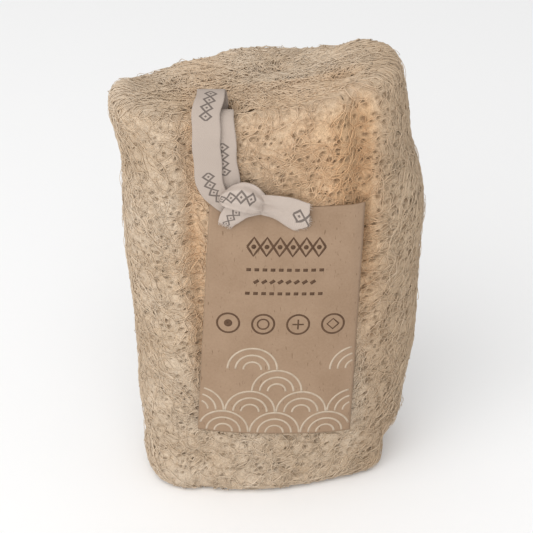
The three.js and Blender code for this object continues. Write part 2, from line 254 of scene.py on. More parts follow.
@dataclass(frozen=True)
class BodyShape:
    """The fibre body's smooth shape: the same stations and formulas as the solids, with finer swellings."""

    half_width: Stations = (
        (0, 48.2), (14, 50.8), (45, 54.2), (85, 55.9), (115, 56.4), (145, 54.8), (168, 52.6)
    )
    half_depth: Stations = ((0, 30.6), (40, 31.6), (100, 31.1), (150, 29.1), (168, 28.4))
    middle_x: Stations = ((0, -0.2), (25, 1.9), (60, 3.8), (105, 2.8), (140, -0.8), (168, -4.3))
    middle_y: float = 0.9
    squareness: float = 2.5
    lean: float = 0.12
    rim_radius: float = 5.0
    height: float = 168.0
    top_rise: tuple[float, float] = (0.06, 0.01)  # how much the top cut climbs to the right and to the back
    top_dip: float = 6.0
    top_half: tuple[float, float] = (57.0, 30.0)  # half the size of the top cut
    top_swells: tuple[Swell, ...] = (
        Swell(35, 0, 11, math.inf, 2.4),
        Swell(-13, 22, 15, 14, 0.8),
        Swell(-51, 22, 12, 14, -3.6),
        Swell(17, 22, 10, 14, -1.2),
        Swell(-54, -4, 4, 6, 2.4),
    )
    front_creases: tuple[Crease, ...] = (
        Crease(-26.9, 3.4, 2.6, 20, 80, tint=0.6, slant=-0.06, eased=0.7),
        Crease(34, 4.2, 3, 40, 125, slant=-0.03),
    )
    back_creases: tuple[Crease, ...] = (
        Crease(-24, 3.0, 4.0, 20, 90, tint=0.4),
        Crease(27, 2.8, 4.0, 40, 120, tint=0.4),
    )
    wall_swells: tuple[Swell, ...] = (
        Swell(-58, 137, 9, 10, -1.5),
        Swell(-58, 75, 9, 10, -1.4),
        Swell(-57, 161, 7, 7, 1.5),
        Swell(-57, 50, 7, 14, 1.0),
        Swell(-58, 104, 8, 8, 0.9),
        Swell(59, 145, 9, 10, -2.7),
        Swell(59, 79, 9, 13, -1.9),
        Swell(60, 36, 8, 7, -1.2),
        Swell(44, 0, 6, 6, 2.2),
    )
    left_lobe: Swell = Swell(-40, 0, 6, math.inf, 0.9)
    tape_dent: Swell = Swell(-12, 128, 6, 9, -2.0)
    lump_height: float = 0.9
    heel_depth: float = 6.0
    toe_depth: float = 6.0
    shoulder_depth: float = 1.2
    panel_left: float = -26.5
    panel_right: float = 30.0
    panel_edge: float = 8.0
    panel_recess_left: float = 2.0
    panel_recess_right: float = -1.3
    top_chambers: tuple[Chamber, ...] = (
        Chamber(-18.5, -16.6, 15, 6.8, 44, lean=0),
        Chamber(26.5, -2, 10.5, 5.2, 40),
        Chamber(1, 9.5, 12, 4.6, 36),
        Chamber(-35, 3, 6.5, 3.8, 22),
    )
    foot_chambers: tuple[Chamber, ...] = (Chamber(-28, -5, 11, 5.0, 26), Chamber(29, 2, 11, 5.0, 24))

    def top_height(self, x: Array, y: Array) -> Array:
        """Height of the top cut: a rise to the right, a dip along the middle and swellings.

        Args:
            x: Drawing X.
            y: Drawing Y.

        Returns:
            Drawing Z.
        """
        across = np.clip(np.abs(x) / self.top_half[0], 0, 1)
        dip = self.top_dip * (1 - across * across) * (0.6 - 0.4 * (y / self.top_half[1]))
        swells = sum(swell.at(x, y) for swell in self.top_swells)
        return self.height + self.top_rise[0] * x + self.top_rise[1] * y - dip + swells

    def panel_share(self, x: Array) -> Array:
        """1 on the flatter front panel, 0 outside it."""
        rise = smooth_step(x, self.panel_left - self.panel_edge, self.panel_left)
        return rise * (1 - smooth_step(x, self.panel_right, self.panel_right + self.panel_edge))

    def panel_recess(self, x: Array) -> Array:
        """How far the panel lies inside the round outline, changing evenly from its left to its right."""
        ends = (self.panel_left, self.panel_right)
        return self.panel_share(x) * np.interp(x, ends, (self.panel_recess_left, self.panel_recess_right))

    def crease_mask(self, x: Array, z: Array, front: Array, widen: float) -> Array:
        """How strongly a point lies in a crease.

        Args:
            x: Drawing X.
            z: Drawing Z.
            front: True on the front half.
            widen: How much wider than the crease itself the mask is.

        Returns:
            0 to 1.
        """
        masks = []
        for creases in (self.front_creases, self.back_creases):
            total = sum(c.tint * c.strength(x, z, widen) for c in creases)
            masks.append(np.clip(total, 0, 1))
        return np.where(front, masks[0], masks[1])

    def cut_back(self, x: Array, z: Array, front: Array) -> Array:
        """How far the right-hand side draws in.

        The heel is the low front right of the middle, the toe the low corner, the shoulder the high corner;
        each is a product of smooth steps along x and z.

        Args:
            x: Drawing X.
            z: Drawing Z.
            front: True on the front half.

        Returns:
            Millimetres inwards.
        """
        heel = smooth_step(x, -10, 58) * (1 - smooth_step(x, 25, 40)) * (1 - smooth_step(z, 8, 42)) * front
        toe = smooth_step(x, 42, 50) * (1 - smooth_step(z, 5, 24)) * (0.6 + 0.4 * smooth_step(z, 2, 10))
        shoulder = smooth_step(x, 38, 54) * smooth_step(z, 130, 160)
        return self.heel_depth * heel + self.toe_depth * toe + self.shoulder_depth * shoulder

    def offset(self, x: Array, z: Array, front: Array) -> Array:
        """The wall's outward offset.

        All round, it is the swellings less the creases and the cut-back right side, plus low lumps made of
        two crossed sine waves. In front, the panel is recessed and has no lumps, the left lobe swells and
        the tape has pressed a dent.

        Args:
            x: Drawing X.
            z: Drawing Z.
            front: True on the front half.

        Returns:
            Millimetres outwards.
        """
        out = sum(swell.at(x, z) for swell in self.wall_swells) - self.cut_back(x, z, front)
        for is_front, creases in ((True, self.front_creases), (False, self.back_creases)):
            for crease in creases:
                out = out - np.where(front == is_front, crease.depth * crease.strength(x, z), 0)
        lumps = self.lump_height * np.sin(0.095 * x + 0.03 * z + 1.3) * np.sin(0.06 * z + 0.02 * x + 0.7)
        pressed = self.left_lobe.at(x, z) - self.panel_recess(x) + self.tape_dent.at(x, z)
        return out + np.where(front, pressed + lumps * (1 - self.panel_share(x)), lumps)

    def on_front(self, x: Array, z: Array, lift: Array) -> Array:
        """Points of the smooth front panel at (x, z), lifted towards the viewer.

        Args:
            x: Drawing X.
            z: Drawing Z.
            lift: Distance out of the panel, along -Y.

        Returns:
            (..., 3) drawing points.
        """
        across = x - between(self.middle_x, z)
        share = np.clip(np.abs(across) / between(self.half_width, z), 0, 1)
        depth = between(self.half_depth, z) * (1 - share**self.squareness) ** (1 / self.squareness)
        y = self.middle_y + self.lean * across - depth + self.panel_recess(x) - lift
        return np.stack(np.broadcast_arrays(x, y, z), axis=-1)


class Skin:
    """The smooth skin as a grid of points and normals that is read anywhere between its lines.

    It goes up the wall and on over both rims, a little way across the cut ends.
    """

    STEP = 0.65
    COLUMNS = 720
    GIRTH = 300.0  # length of the outline at mid height
    MEAN_HALF = (55.0, 31.0)  # half sizes of the outline that spaces the columns
    TALL = 168.0
    CAP = 14.0  # how far it goes across each cut end

    def __init__(self, shape: BodyShape) -> None:
        """Works out the grid: the wall's points, drawn straight towards the middle beyond both rims.

        Args:
            shape: The body's shape.
        """
        self.shape = shape
        level = np.arange(-self.CAP, self.TALL + self.CAP, self.STEP)[:, None]
        self.rows = len(level)
        up = np.clip(level / self.TALL, 0, 1)
        x, y = self.wall(up)
        beyond = np.clip(level - self.TALL, 0, None) + np.clip(-level, 0, None)
        ray_x, ray_y = x - between(shape.middle_x, up * shape.height), y - shape.middle_y
        ray = np.hypot(ray_x, ray_y)
        x, y = x - ray_x / ray * beyond, y - ray_y / ray * beyond
        self.points = np.stack([x, y, up * shape.top_height(x, y)], axis=-1)
        round_step = np.roll(self.points, -1, 1) - np.roll(self.points, 1, 1)
        up_step = np.gradient(self.points, axis=0)
        self.normals = unit(np.cross(round_step, up_step))

    def even_angles(self) -> Array:
        """Angles that stand evenly along a squared ellipse of the mean half sizes.

        Returns:
            (COLUMNS,) angles in radians.
        """
        power = 2 / self.shape.squareness
        angle = np.linspace(0, TURN, 4001)
        cos, sin = np.cos(angle), np.sin(angle)
        x = self.MEAN_HALF[0] * np.sign(cos) * np.abs(cos) ** power
        y = self.MEAN_HALF[1] * np.sign(sin) * np.abs(sin) ** power
        run = np.concatenate([[0], np.cumsum(np.hypot(np.diff(x), np.diff(y)))])
        return np.interp(np.linspace(0, run[-1], self.COLUMNS + 1)[:-1], run, angle)

    def wall(self, up: Array) -> tuple[Array, Array]:
        """The wall's outline at each height.

        A squared ellipse, sheared by the lean, is moved along its own normal by the offset, and by a
        quarter round inwards within the rim's radius of a cut end.

        Args:
            up: (rows, 1) shares of the whole height.

        Returns:
            (x, y), each (rows, COLUMNS).
        """
        shape = self.shape
        power = 2 / shape.squareness
        angle = self.even_angles()[None, :]
        cos, sin = np.cos(angle), np.sin(angle)
        z = up * shape.height
        across = between(shape.half_width, z) * np.sign(cos) * np.abs(cos) ** power
        deep = between(shape.half_depth, z) * np.sign(sin) * np.abs(sin) ** power
        x = across + between(shape.middle_x, z)
        y = deep + shape.lean * across + shape.middle_y
        along = np.roll(x, -1, 1) - np.roll(x, 1, 1), np.roll(y, -1, 1) - np.roll(y, 1, 1)
        length = np.hypot(*along)
        top = shape.top_height(x, y)
        rise = shape.rim_radius - np.clip(np.minimum(up, 1 - up) * top, 0, shape.rim_radius)
        inset = shape.rim_radius - np.sqrt(shape.rim_radius**2 - rise**2)
        out = shape.offset(x, up * top, deep < 0) - inset
        return x + along[1] / length * out, y - along[0] / length * out

    def read(self, girth: Array, level: Array) -> tuple[Array, Array]:
        """Points and normals at places on the skin.

        Args:
            girth: Millimetres round from +X, anticlockwise from above; it wraps.
            level: Millimetres up the wall from the foot; below 0 and above TALL it goes on over the cut ends.

        Returns:
            (points, normals), by even blending between the four nearest grid points.
        """
        column = (girth / self.GIRTH % 1.0) * self.COLUMNS
        left = np.floor(column).astype(int) % self.COLUMNS
        right = (left + 1) % self.COLUMNS
        row = np.clip((level + self.CAP) / self.STEP, 0, self.rows - 1.001)
        low = np.floor(row).astype(int)
        share_x = (column - np.floor(column))[..., None]
        share_y = (row - low)[..., None]
        blended = []
        for grid in (self.points, self.normals):
            bottom = grid[low, left] * (1 - share_x) + grid[low, right] * share_x
            upper = grid[low + 1, left] * (1 - share_x) + grid[low + 1, right] * share_x
            blended.append(bottom * (1 - share_y) + upper * share_y)
        return blended[0], unit(blended[1])


@dataclass(frozen=True)
class PoreField:
    """Small oval pores on a jittered lattice, which the fibres run round."""

    pitch_x: float = 3.125
    pitch_z: float = 2.5
    jitter: float = 0.9
    small: float = 0.28
    large: float = 1.0
    rarity: float = 1.9  # how much rarer large pores are than small ones
    stretch: float = 1.35
    wrap: int = 96  # pores round the girth; 0 where the field doesn't wrap
    seed: int = 11
    reach: float = 1.7  # how far out a pore moves what is round it, in its own radii
    crowding: float = 0.41  # how close together the moved things then lie, 1 being unmoved
    floor: float = 0.6  # the share of a pore's radius that sinks

    TABLE = 256  # the table of chances repeats after so many rows and columns

    def nearest(self, x: Array, z: Array) -> tuple[Array, Array, Array]:
        """The nearest pore, measured in its own radii.

        Args:
            x: Distance round, in millimetres.
            z: Height, in millimetres.

        Returns:
            (level, away_x, away_z): distance from the pore's middle in radii and in millimetres.
        """
        table = np.random.default_rng(self.seed).random((self.TABLE, self.TABLE, 3))
        level = np.full(x.shape, 1e9)
        near_x, near_z = np.zeros_like(x), np.zeros_like(z)
        row_0 = np.round(z / self.pitch_z).astype(int)
        for row_step in (-1, 0, 1):
            row = row_0 + row_step
            stagger = 0.5 * (row % 2)
            column_0 = np.round(x / self.pitch_x - stagger).astype(int)
            for column_step in (-1, 0, 1):
                column = column_0 + column_step
                key = column % self.wrap if self.wrap else column
                chance = table[row % self.TABLE, key % self.TABLE]
                middle_x = (column + stagger) * self.pitch_x + self.jitter * (2 * chance[..., 0] - 1)
                middle_z = row * self.pitch_z + 0.7 * self.jitter * (2 * chance[..., 1] - 1)
                radius = self.small + (self.large - self.small) * chance[..., 2] ** self.rarity
                if self.wrap:
                    radius = radius * (0.95 + 0.15 * np.cos(TURN * key / self.wrap))
                away_x, away_z = x - middle_x, z - middle_z
                here = np.maximum(np.hypot(away_x / (radius * self.stretch), away_z / radius), 1e-3)
                nearer = here < level
                level = np.where(nearer, here, level)
                near_x = np.where(nearer, away_x, near_x)
                near_z = np.where(nearer, away_z, near_z)
        return level, near_x, near_z

    def push(self, x: Array, z: Array, strength: Array | float) -> tuple[Array, Array]:
        """Moves points out of the nearest pore: q radii from its middle becomes 1 + crowding x q radii.

        Args:
            x: Distance round.
            z: Height.
            strength: 0 to 1, how much of that way they go.

        Returns:
            (x, z) of the moved points.
        """
        level, away_x, away_z = self.nearest(x, z)
        grow = strength * np.where(level < self.reach, (1 + self.crowding * level) / level - 1, 0)
        return x + away_x * grow, z + away_z * grow

    def pits(self, x: Array, z: Array) -> tuple[Array, Array, Array]:
        """Gathers a grid round the pores: its points near a pore's edge move onto it, those inside sink.

        Args:
            x: Distance round, in millimetres.
            z: Height, in millimetres.

        Returns:
            (x, z, sunk): the moved grid, and 1 where a point belongs to a pit's floor.
        """
        level, away_x, away_z = self.nearest(x, z)
        edge = (level >= self.floor) & (level < self.reach)
        grow = np.where(edge, (1 + self.crowding * level) / level - 1, 0)
        return x + away_x * grow, z + away_z * grow, (level < self.floor).astype(float)


@dataclass(frozen=True)
class FibreLayer:
    """One layer of wandering fibres: how many, how long, how thick, how they lie and how high."""

    name: str
    count: int
    steps: int
    step: float  # length of one step
    low: float  # lowest height over the skin
    high: float
    radius: float
    heading: float = 0.0  # mean direction, 0 being round the body
    spread: float = 1.2  # how much the directions vary
    push: float = 1.0  # how strongly the pores push the fibres aside
    seed: int = 0

    def wander(self, rng: np.random.Generator, start: Array) -> Array:
        """Flat paths that set off from start and turn gently both ways.

        Args:
            rng: The seeded source of chance.
            start: (n, 2) starting places.

        Returns:
            (n, steps, 2) places; the heading is a slow wave plus a quicker one.
        """
        count = len(start)
        k = np.arange(self.steps)[None, :]
        phase = rng.uniform(0, TURN, (2, count, 1))
        pace = rng.uniform(0.12, 0.3, (count, 1))
        heading = self.heading + self.spread * rng.standard_normal((count, 1))
        heading = heading + 0.8 * np.sin(pace * k + phase[0]) + 0.4 * np.sin(3.1 * pace * k + phase[1])
        stride = self.step * np.stack([np.cos(heading), np.sin(heading)], axis=-1)
        return start[:, None, :] + np.cumsum(stride, axis=1)

    def heights(self, rng: np.random.Generator, count: int) -> Array:
        """Heights that weave up and down between low and high.

        Args:
            rng: The seeded source of chance.
            count: How many fibres.

        Returns:
            (count, steps) heights, each fibre's a sine wave about its own middle.
        """
        k = np.arange(self.steps)[None, :]
        phase = rng.uniform(0, TURN, (count, 1))
        base = rng.uniform(0.25, 0.75, (count, 1))
        weave = base + 0.25 * np.sin(k * self.step * rng.uniform(0.7, 1.6, (count, 1)) + phase)
        return self.low + (self.high - self.low) * np.clip(weave, 0, 1)

    def radii(self, rng: np.random.Generator, count: int) -> Array:
        """Radii, each fibre its own, swelling a little and tapering at both ends.

        Args:
            rng: The seeded source of chance.
            count: How many fibres.

        Returns:
            (count, steps) radii.
        """
        k = np.linspace(0, 1, self.steps)[None, :]
        own = self.radius * rng.uniform(0.65, 1.35, (count, 1))
        swell = 1 + 0.2 * np.sin(k * rng.uniform(8, 20, (count, 1)) + rng.uniform(0, TURN, (count, 1)))
        return own * swell * np.clip(12 * np.minimum(k, 1 - k) + 0.25, 0, 1)


def unbroken(paths: Array, longest: float) -> Array:
    """True for each of the (n, k, any) paths that has no step longer than that."""
    return np.linalg.norm(np.diff(paths, axis=1), axis=2).max(axis=1) < longest


class Strands:
    """Gathers swept fibres into the arrays of one mesh."""

    SIDES = 3

    def __init__(self) -> None:
        """Starts with nothing."""
        self.points: list[Array] = []
        self.quads: list[Array] = []
        self.caps: list[Array] = []
        self.paint: list[Array] = []
        self.used = 0

    def add(self, path: Array, normal: Array, radius: Array, shade: Array) -> None:
        """Sweeps a three-sided fibre, its ridge outwards, along each path.

        Each ring is the path point plus the radius times cos(a) across and sin(a) along the surface normal.

        Args:
            path: (n, k, 3) middles.
            normal: (n, k, 3) surface normals.
            radius: (n, k) radii.
            shade: (n, k, 3) numbers to keep at each ring's points.
        """
        count, steps = radius.shape
        tangent = unit(np.gradient(path, axis=1))
        across = unit(np.cross(normal, tangent))
        rise = np.cross(tangent, across)
        angle = math.pi / 2 + TURN * np.arange(self.SIDES) / self.SIDES
        ring = path[:, :, None, :] + radius[:, :, None, None] * (
            across[:, :, None, :] * np.cos(angle)[:, None] + rise[:, :, None, :] * np.sin(angle)[:, None]
        )
        numbers = self.used + np.arange(count * steps * self.SIDES).reshape(count, steps, self.SIDES)
        after = np.roll(numbers, -1, axis=2)
        faces = np.stack([numbers[:, :-1], numbers[:, 1:], after[:, 1:], after[:, :-1]], axis=-1)
        self.points.append(ring.reshape(-1, 3))
        self.quads.append(faces.reshape(-1, 4))
        self.caps.append(numbers[:, 0, :])
        self.caps.append(numbers[:, -1, ::-1])
        self.paint.append(np.repeat(shade, self.SIDES, axis=1).reshape(-1, 3))
        self.used += count * steps * self.SIDES

    def make(self, name: str) -> Piece:
        """The gathered fibres as one object with its shade attribute.

        Args:
            name: The piece's name.

        Returns:
            The new piece.
        """
        piece = MeshMaker.make(
            name, np.concatenate(self.points), np.concatenate(self.quads), np.concatenate(self.caps)
        )
        MeshMaker.paint(piece, "shade", np.concatenate(self.paint))
        return piece


class Nodes:
    """A short hand for building one node tree."""

    def __init__(self, tree: bpy.types.NodeTree) -> None:
        """Keeps the tree."""
        self.tree = tree

    def new(self, kind: str, **settings: str | bool) -> bpy.types.Node:
        """A new node.

        Args:
            kind: The node's type.
            **settings: Its own settings.

        Returns:
            The node.
        """
        node = self.tree.nodes.new(kind)
        for key, value in settings.items():
            setattr(node, key, value)
        return node

    def join(self, source: Value, target: Socket) -> None:
        """Links a socket, or sets a plain number or colour, on the target.

        Args:
            source: What the target takes.
            target: A node's input.
        """
        if isinstance(source, Socket):
            self.tree.links.new(source, target)
        else:
            target.default_value = source

    def place(self) -> Socket:
        """The place on the object, in metres."""
        return self.new("ShaderNodeTexCoord").outputs["Object"]

    def painted(self, name: str) -> tuple[Socket, ...]:
        """The three numbers that each point of the mesh keeps.

        Args:
            name: The attribute's name.

        Returns:
            One output a number.
        """
        attribute = self.new("ShaderNodeAttribute", attribute_name=name)
        parts = self.new("ShaderNodeSeparateColor")
        self.join(attribute.outputs["Color"], parts.inputs[0])
        return tuple(parts.outputs)

    def math(self, operation: str, *values: Value) -> Socket:
        """One Math node.

        Args:
            operation: What it does.
            *values: What its inputs take.

        Returns:
            Its result.
        """
        node = self.new("ShaderNodeMath", operation=operation)
        for value, target in zip(values, node.inputs):
            self.join(value, target)
        return node.outputs[0]

    def mix(self, share: Value, a: Value, b: Value) -> Socket:
        """One Mix node for colours.

        Args:
            share: 0 for a, 1 for b.
            a: The first colour.
            b: The second colour.

        Returns:
            The mixed colour.
        """
        node = self.new("ShaderNodeMix", data_type="RGBA")
        for value, name in ((share, "Factor"), (a, "A"), (b, "B")):
            self.join(value, node.inputs[name])
        return node.outputs["Result"]

    def noise(self, place: Socket, scale: float, detail: float = 3.0) -> Socket:
        """One Noise Texture.

        Args:
            place: Where it is read.
            scale: Waves a metre.
            detail: How many finer layers it has.

        Returns:
            Its value.
        """
        node = self.new("ShaderNodeTexNoise")
        node.inputs["Scale"].default_value = scale
        node.inputs["Detail"].default_value = detail
        self.join(place, node.inputs["Vector"])
        return node.outputs["Fac"]

    def spread(self, value: Value, low: float, high: float) -> Socket:
        """Stretches a value so that low is 0 and high is 1, and holds it there.

        Args:
            value: The value.
            low: What becomes 0.
            high: What becomes 1.

        Returns:
            The stretched value.
        """
        node = self.new("ShaderNodeMapRange", clamp=True)
        for number, target in zip((value, low, high, 0.0, 1.0), node.inputs):
            self.join(number, target)
        return node.outputs[0]


def mottle_group() -> bpy.types.NodeTree:
    """The mottle that every natural fibre here shares.

    Returns:
        A group that takes two colours and a scale, and gives a mottled colour and a fine height.
    """
    known = bpy.data.node_groups.get("dry_fibre_mottle")
    if known:
        return known
    tree = bpy.data.node_groups.new("dry_fibre_mottle", "ShaderNodeTree")
    for name in ("Pale", "Deep"):
        tree.interface.new_socket(name=name, in_out="INPUT", socket_type="NodeSocketColor")
    tree.interface.new_socket(name="Scale", in_out="INPUT", socket_type="NodeSocketFloat")
    tree.interface.new_socket(name="Colour", in_out="OUTPUT", socket_type="NodeSocketColor")
    tree.interface.new_socket(name="Height", in_out="OUTPUT", socket_type="NodeSocketFloat")
    nodes = Nodes(tree)
    inputs = nodes.new("NodeGroupInput")
    outputs = nodes.new("NodeGroupOutput")
    scaled = nodes.new("ShaderNodeVectorMath", operation="SCALE")
    nodes.join(nodes.place(), scaled.inputs[0])
    nodes.join(inputs.outputs["Scale"], scaled.inputs["Scale"])
    broad = nodes.noise(scaled.outputs[0], 1.0, 4.0)
    fine = nodes.noise(scaled.outputs[0], 14.0, 3.0)
    both = nodes.math("MULTIPLY_ADD", fine, 0.4, nodes.math("MULTIPLY", broad, 0.6))
    share = nodes.spread(both, 0.36, 0.64)
    nodes.join(nodes.mix(share, inputs.outputs["Pale"], inputs.outputs["Deep"]), outputs.inputs["Colour"])
    nodes.join(fine, outputs.inputs["Height"])
    return tree


def new_material(name: str, roughness: float) -> tuple[bpy.types.Material, Nodes, bpy.types.Node]:
    """A material with its Principled BSDF.

    Args:
        name: The material's name.
        roughness: The shader's own roughness.

    Returns:
        The material, its node maker and its Principled BSDF.
    """
    material = bpy.data.materials.new(name)
    material.use_nodes = True
    nodes = Nodes(material.node_tree)
    shader = material.node_tree.nodes["Principled BSDF"]
    shader.inputs["Roughness"].default_value = roughness
    shader.inputs["Specular IOR Level"].default_value = 0.25
    return material, nodes, shader


def place_mottle(nodes: Nodes, pale: Value, deep: Value, scale: float) -> bpy.types.Node:
    """The shared mottle group placed in a material with its own colours and scale.

    Args:
        nodes: The material's node maker.
        pale: One colour.
        deep: The other colour.
        scale: Patches a metre.

    Returns:
        The group's node, with the outputs Colour and Height.
    """
    group = nodes.new("ShaderNodeGroup")
    group.node_tree = mottle_group()
    nodes.join(pale, group.inputs["Pale"])
    nodes.join(deep, group.inputs["Deep"])
    nodes.join(scale, group.inputs["Scale"])
    return group


def add_bump(nodes: Nodes, shader: bpy.types.Node, height: Value, strength: float, reach: float) -> None:
    """Lets a height roughen the surface.

    Args:
        nodes: The material's node maker.
        shader: Its Principled BSDF.
        height: The height.
        strength: How strongly it shows.
        reach: Metres from its lowest to its highest.
    """
    bump = nodes.new("ShaderNodeBump")
    bump.inputs["Strength"].default_value = strength
    bump.inputs["Distance"].default_value = reach
    nodes.join(height, bump.inputs["Height"])
    nodes.join(bump.outputs["Normal"], shader.inputs["Normal"])


@dataclass(frozen=True)
class FibreFinish:
    """Dry luffa fibre: straw, orange-brown in the creases as painted crease shade and bounce light, and
    darker the deeper it lies as painted shade.
    """

    name: str
    pale: Colour = srgb(217, 201, 181)
    straw: Colour = srgb(197, 175, 149)
    orange_and_crease_shade: Colour = srgb(220, 181, 139)
    shadow: Colour = srgb(164, 135, 106)
    web: bool = False
    mottle_scale: float = 38.0
    felt_scales: tuple[float, float] = (800.0, 1500.0)
    felt_warp: float = 0.0014  # how far the cells are pulled about
    warp_scale: float = 500.0

    def make(self) -> bpy.types.Material:
        """Builds the material from the shade attribute's height, crease and chance.

        With web on, warped cells whose borders stand up make a fine felt between the larger fibres.

        Returns:
            The material.
        """
        material, nodes, shader = new_material(self.name, 0.82)
        height, crease, chance = nodes.painted("shade")
        mottle = place_mottle(nodes, self.pale, self.straw, self.mottle_scale)
        each = nodes.mix(nodes.spread(chance, 0.0, 1.6), mottle.outputs["Colour"], self.straw)
        # The crease channel holds painted crease shade and bounce light in the creases, and the panel's own
        # orange.
        crease_tinted = nodes.mix(nodes.math("MULTIPLY", crease, 0.95), each, self.orange_and_crease_shade)
        # Painted shade: the lower a point lies over the skin, the more of the shadow colour it gets.
        deep = nodes.mix(nodes.spread(height, 0.0, 0.68), self.shadow, crease_tinted)
        if not self.web:
            nodes.join(deep, shader.inputs["Base Color"])
            add_bump(nodes, shader, mottle.outputs["Height"], 0.25, 0.0002)
            return material
        ridge = self.felt(nodes)
        # Painted shade in the hollows between the felt's raised borders.
        between_ridges = nodes.mix(nodes.spread(ridge, 0.8, -1.6), deep, self.shadow)
        nodes.join(between_ridges, shader.inputs["Base Color"])
        add_bump(nodes, shader, ridge, 0.7, 0.0004)
        return material

    def felt(self, nodes: Nodes) -> Socket:
        """Height of a fine felt: the borders of warped cells at two sizes.

        Args:
            nodes: The material's node maker.

        Returns:
            The height, 0 to 1.
        """
        place = nodes.place()
        warp = nodes.new("ShaderNodeTexNoise")
        warp.inputs["Scale"].default_value = self.warp_scale
        nodes.join(place, warp.inputs["Vector"])
        moved = nodes.new("ShaderNodeVectorMath", operation="MULTIPLY_ADD")
        nodes.join(warp.outputs["Color"], moved.inputs[0])
        moved.inputs[1].default_value = (self.felt_warp,) * 3
        nodes.join(place, moved.inputs[2])
        ridges = []
        for scale in self.felt_scales:
            cells = nodes.new("ShaderNodeTexVoronoi", feature="DISTANCE_TO_EDGE")
            cells.inputs["Scale"].default_value = scale
            nodes.join(moved.outputs[0], cells.inputs["Vector"])
            ridges.append(nodes.spread(cells.outputs["Distance"], 0.22, 0.03))
        return nodes.math("MAXIMUM", ridges[0], nodes.math("MULTIPLY", ridges[1], 0.7))


@dataclass(frozen=True)
class TapeFinish:
    """Off-white woven cotton tape, printed with small dark lozenges in groups."""

    cotton: Colour = srgb(219, 206, 197)
    soiled: Colour = srgb(206, 190, 178)
    dulled: Colour = srgb(177, 163, 152)
    ink: Colour = srgb(72, 64, 60)
    threads_across: float = 8.0  # pairs of warp threads over half the tape's width
    weft_pitch: float = 0.0006
    print_pitch: float = 0.032  # from one printed group to the next
    print_share: float = 0.4  # how much of that is printed
    lozenge_half: float = 0.0016  # half a lozenge's length
    lozenge_swell: float = 0.4  # half its width, as a share of half the tape's width
    outline_half: float = 0.1  # half the width of its line, as such a share
    dot_reach: float = 0.29  # how far inside the line the dot starts, as such a share
    print_start: float = 0.9  # where in a printed group the tape begins

    def make(self) -> bpy.types.Material:
        """Builds the material: the weave attribute holds metres along, place across and dullness.

        Two crossed sine waves make the weave.

        Returns:
            The material.
        """
        material, nodes, shader = new_material("woven_cotton_tape", 0.88)
        along, across, dull = nodes.painted("weave")
        warp = nodes.math("SINE", nodes.math("MULTIPLY", across, self.threads_across * TURN))
        weft = nodes.math("SINE", nodes.math("MULTIPLY", along, TURN / self.weft_pitch))
        weave = nodes.math("MULTIPLY", warp, weft)
        mottle = place_mottle(nodes, self.cotton, self.soiled, 60.0)
        # The long run is drawn darker and greyer than the knot and the ends.
        varied_tone = nodes.mix(dull, mottle.outputs["Colour"], self.dulled)
        shaded = nodes.mix(nodes.spread(weave, 3.0, -1.0), varied_tone, self.dulled)
        printed = nodes.math("MULTIPLY", self.lozenges(nodes, along, across), 0.75)
        nodes.join(nodes.mix(printed, shaded, self.ink), shader.inputs["Base Color"])
        add_bump(nodes, shader, weave, 0.5, 0.0001)
        return material

    def lozenges(self, nodes: Nodes, along: Socket, across: Socket) -> Socket:
        """The print: groups of lozenges in a chain, each with a dot in its middle.

        A lozenge's half width swells and shrinks evenly along the tape; the outline is where the distance
        from the tape's middle is near it, and the dot is where it is far above that distance.

        Args:
            nodes: The material's node maker.
            along: Metres along the tape.
            across: -1 to 1 across it.

        Returns:
            1 on the print, 0 elsewhere.
        """
        group = nodes.math("FRACT", nodes.math("MULTIPLY_ADD", along, 1 / self.print_pitch, self.print_start))
        swell = nodes.math("PINGPONG", nodes.math("MULTIPLY", along, 1 / self.lozenge_half), 1.0)
        outline = nodes.math("MULTIPLY", swell, self.lozenge_swell)
        beyond = nodes.math("SUBTRACT", nodes.math("ABSOLUTE", across), outline)
        on_outline = nodes.math("LESS_THAN", nodes.math("ABSOLUTE", beyond), self.outline_half)
        on_dot = nodes.math("LESS_THAN", beyond, -self.dot_reach)
        both = nodes.math("MAXIMUM", on_outline, on_dot)
        return nodes.math("MULTIPLY", both, nodes.math("LESS_THAN", group, self.print_share))


@dataclass(frozen=True)
class CardFinish:
    """Uncoated brown card: pulp mottle, scattered fibres and a soft tooth."""

    kraft: Colour = srgb(156, 131, 108)
    pulp: Colour = srgb(146, 121, 98)
    fleck: Colour = srgb(126, 102, 80)

    def make(self) -> bpy.types.Material:
        """Builds the material on Object coordinates.

        Stretched noise makes the flecks.

        Returns:
            The material.
        """
        material, nodes, shader = new_material("brown_kraft_card", 0.8)
        mottle = place_mottle(nodes, self.kraft, self.pulp, 90.0)
        stretched = nodes.new("ShaderNodeMapping")
        stretched.inputs["Scale"].default_value = (1.0, 1.0, 0.25)
        stretched.inputs["Rotation"].default_value = (0.0, 0.5, 0.0)
        nodes.join(nodes.place(), stretched.inputs["Vector"])
        hairs = nodes.noise(stretched.outputs[0], 1500.0, 2.0)
        flecked = nodes.mix(nodes.spread(hairs, 0.66, 0.74), mottle.outputs["Colour"], self.fleck)
        nodes.join(flecked, shader.inputs["Base Color"])
        add_bump(nodes, shader, hairs, 0.15, 0.0001)
        return material


@dataclass(frozen=True)
class InkFinish:
    """Flat printing ink that lets a little of the card's pulp show through."""

    name: str
    ink: Colour
    varied_tone: Colour

    def make(self) -> bpy.types.Material:
        """Builds the material on the shared mottle.

        Returns:
            The material.
        """
        material, nodes, shader = new_material(self.name, 0.7)
        mottle = place_mottle(nodes, self.ink, self.varied_tone, 400.0)
        nodes.join(mottle.outputs["Colour"], shader.inputs["Base Color"])
        add_bump(nodes, shader, mottle.outputs["Height"], 0.1, 0.00005)
        return material


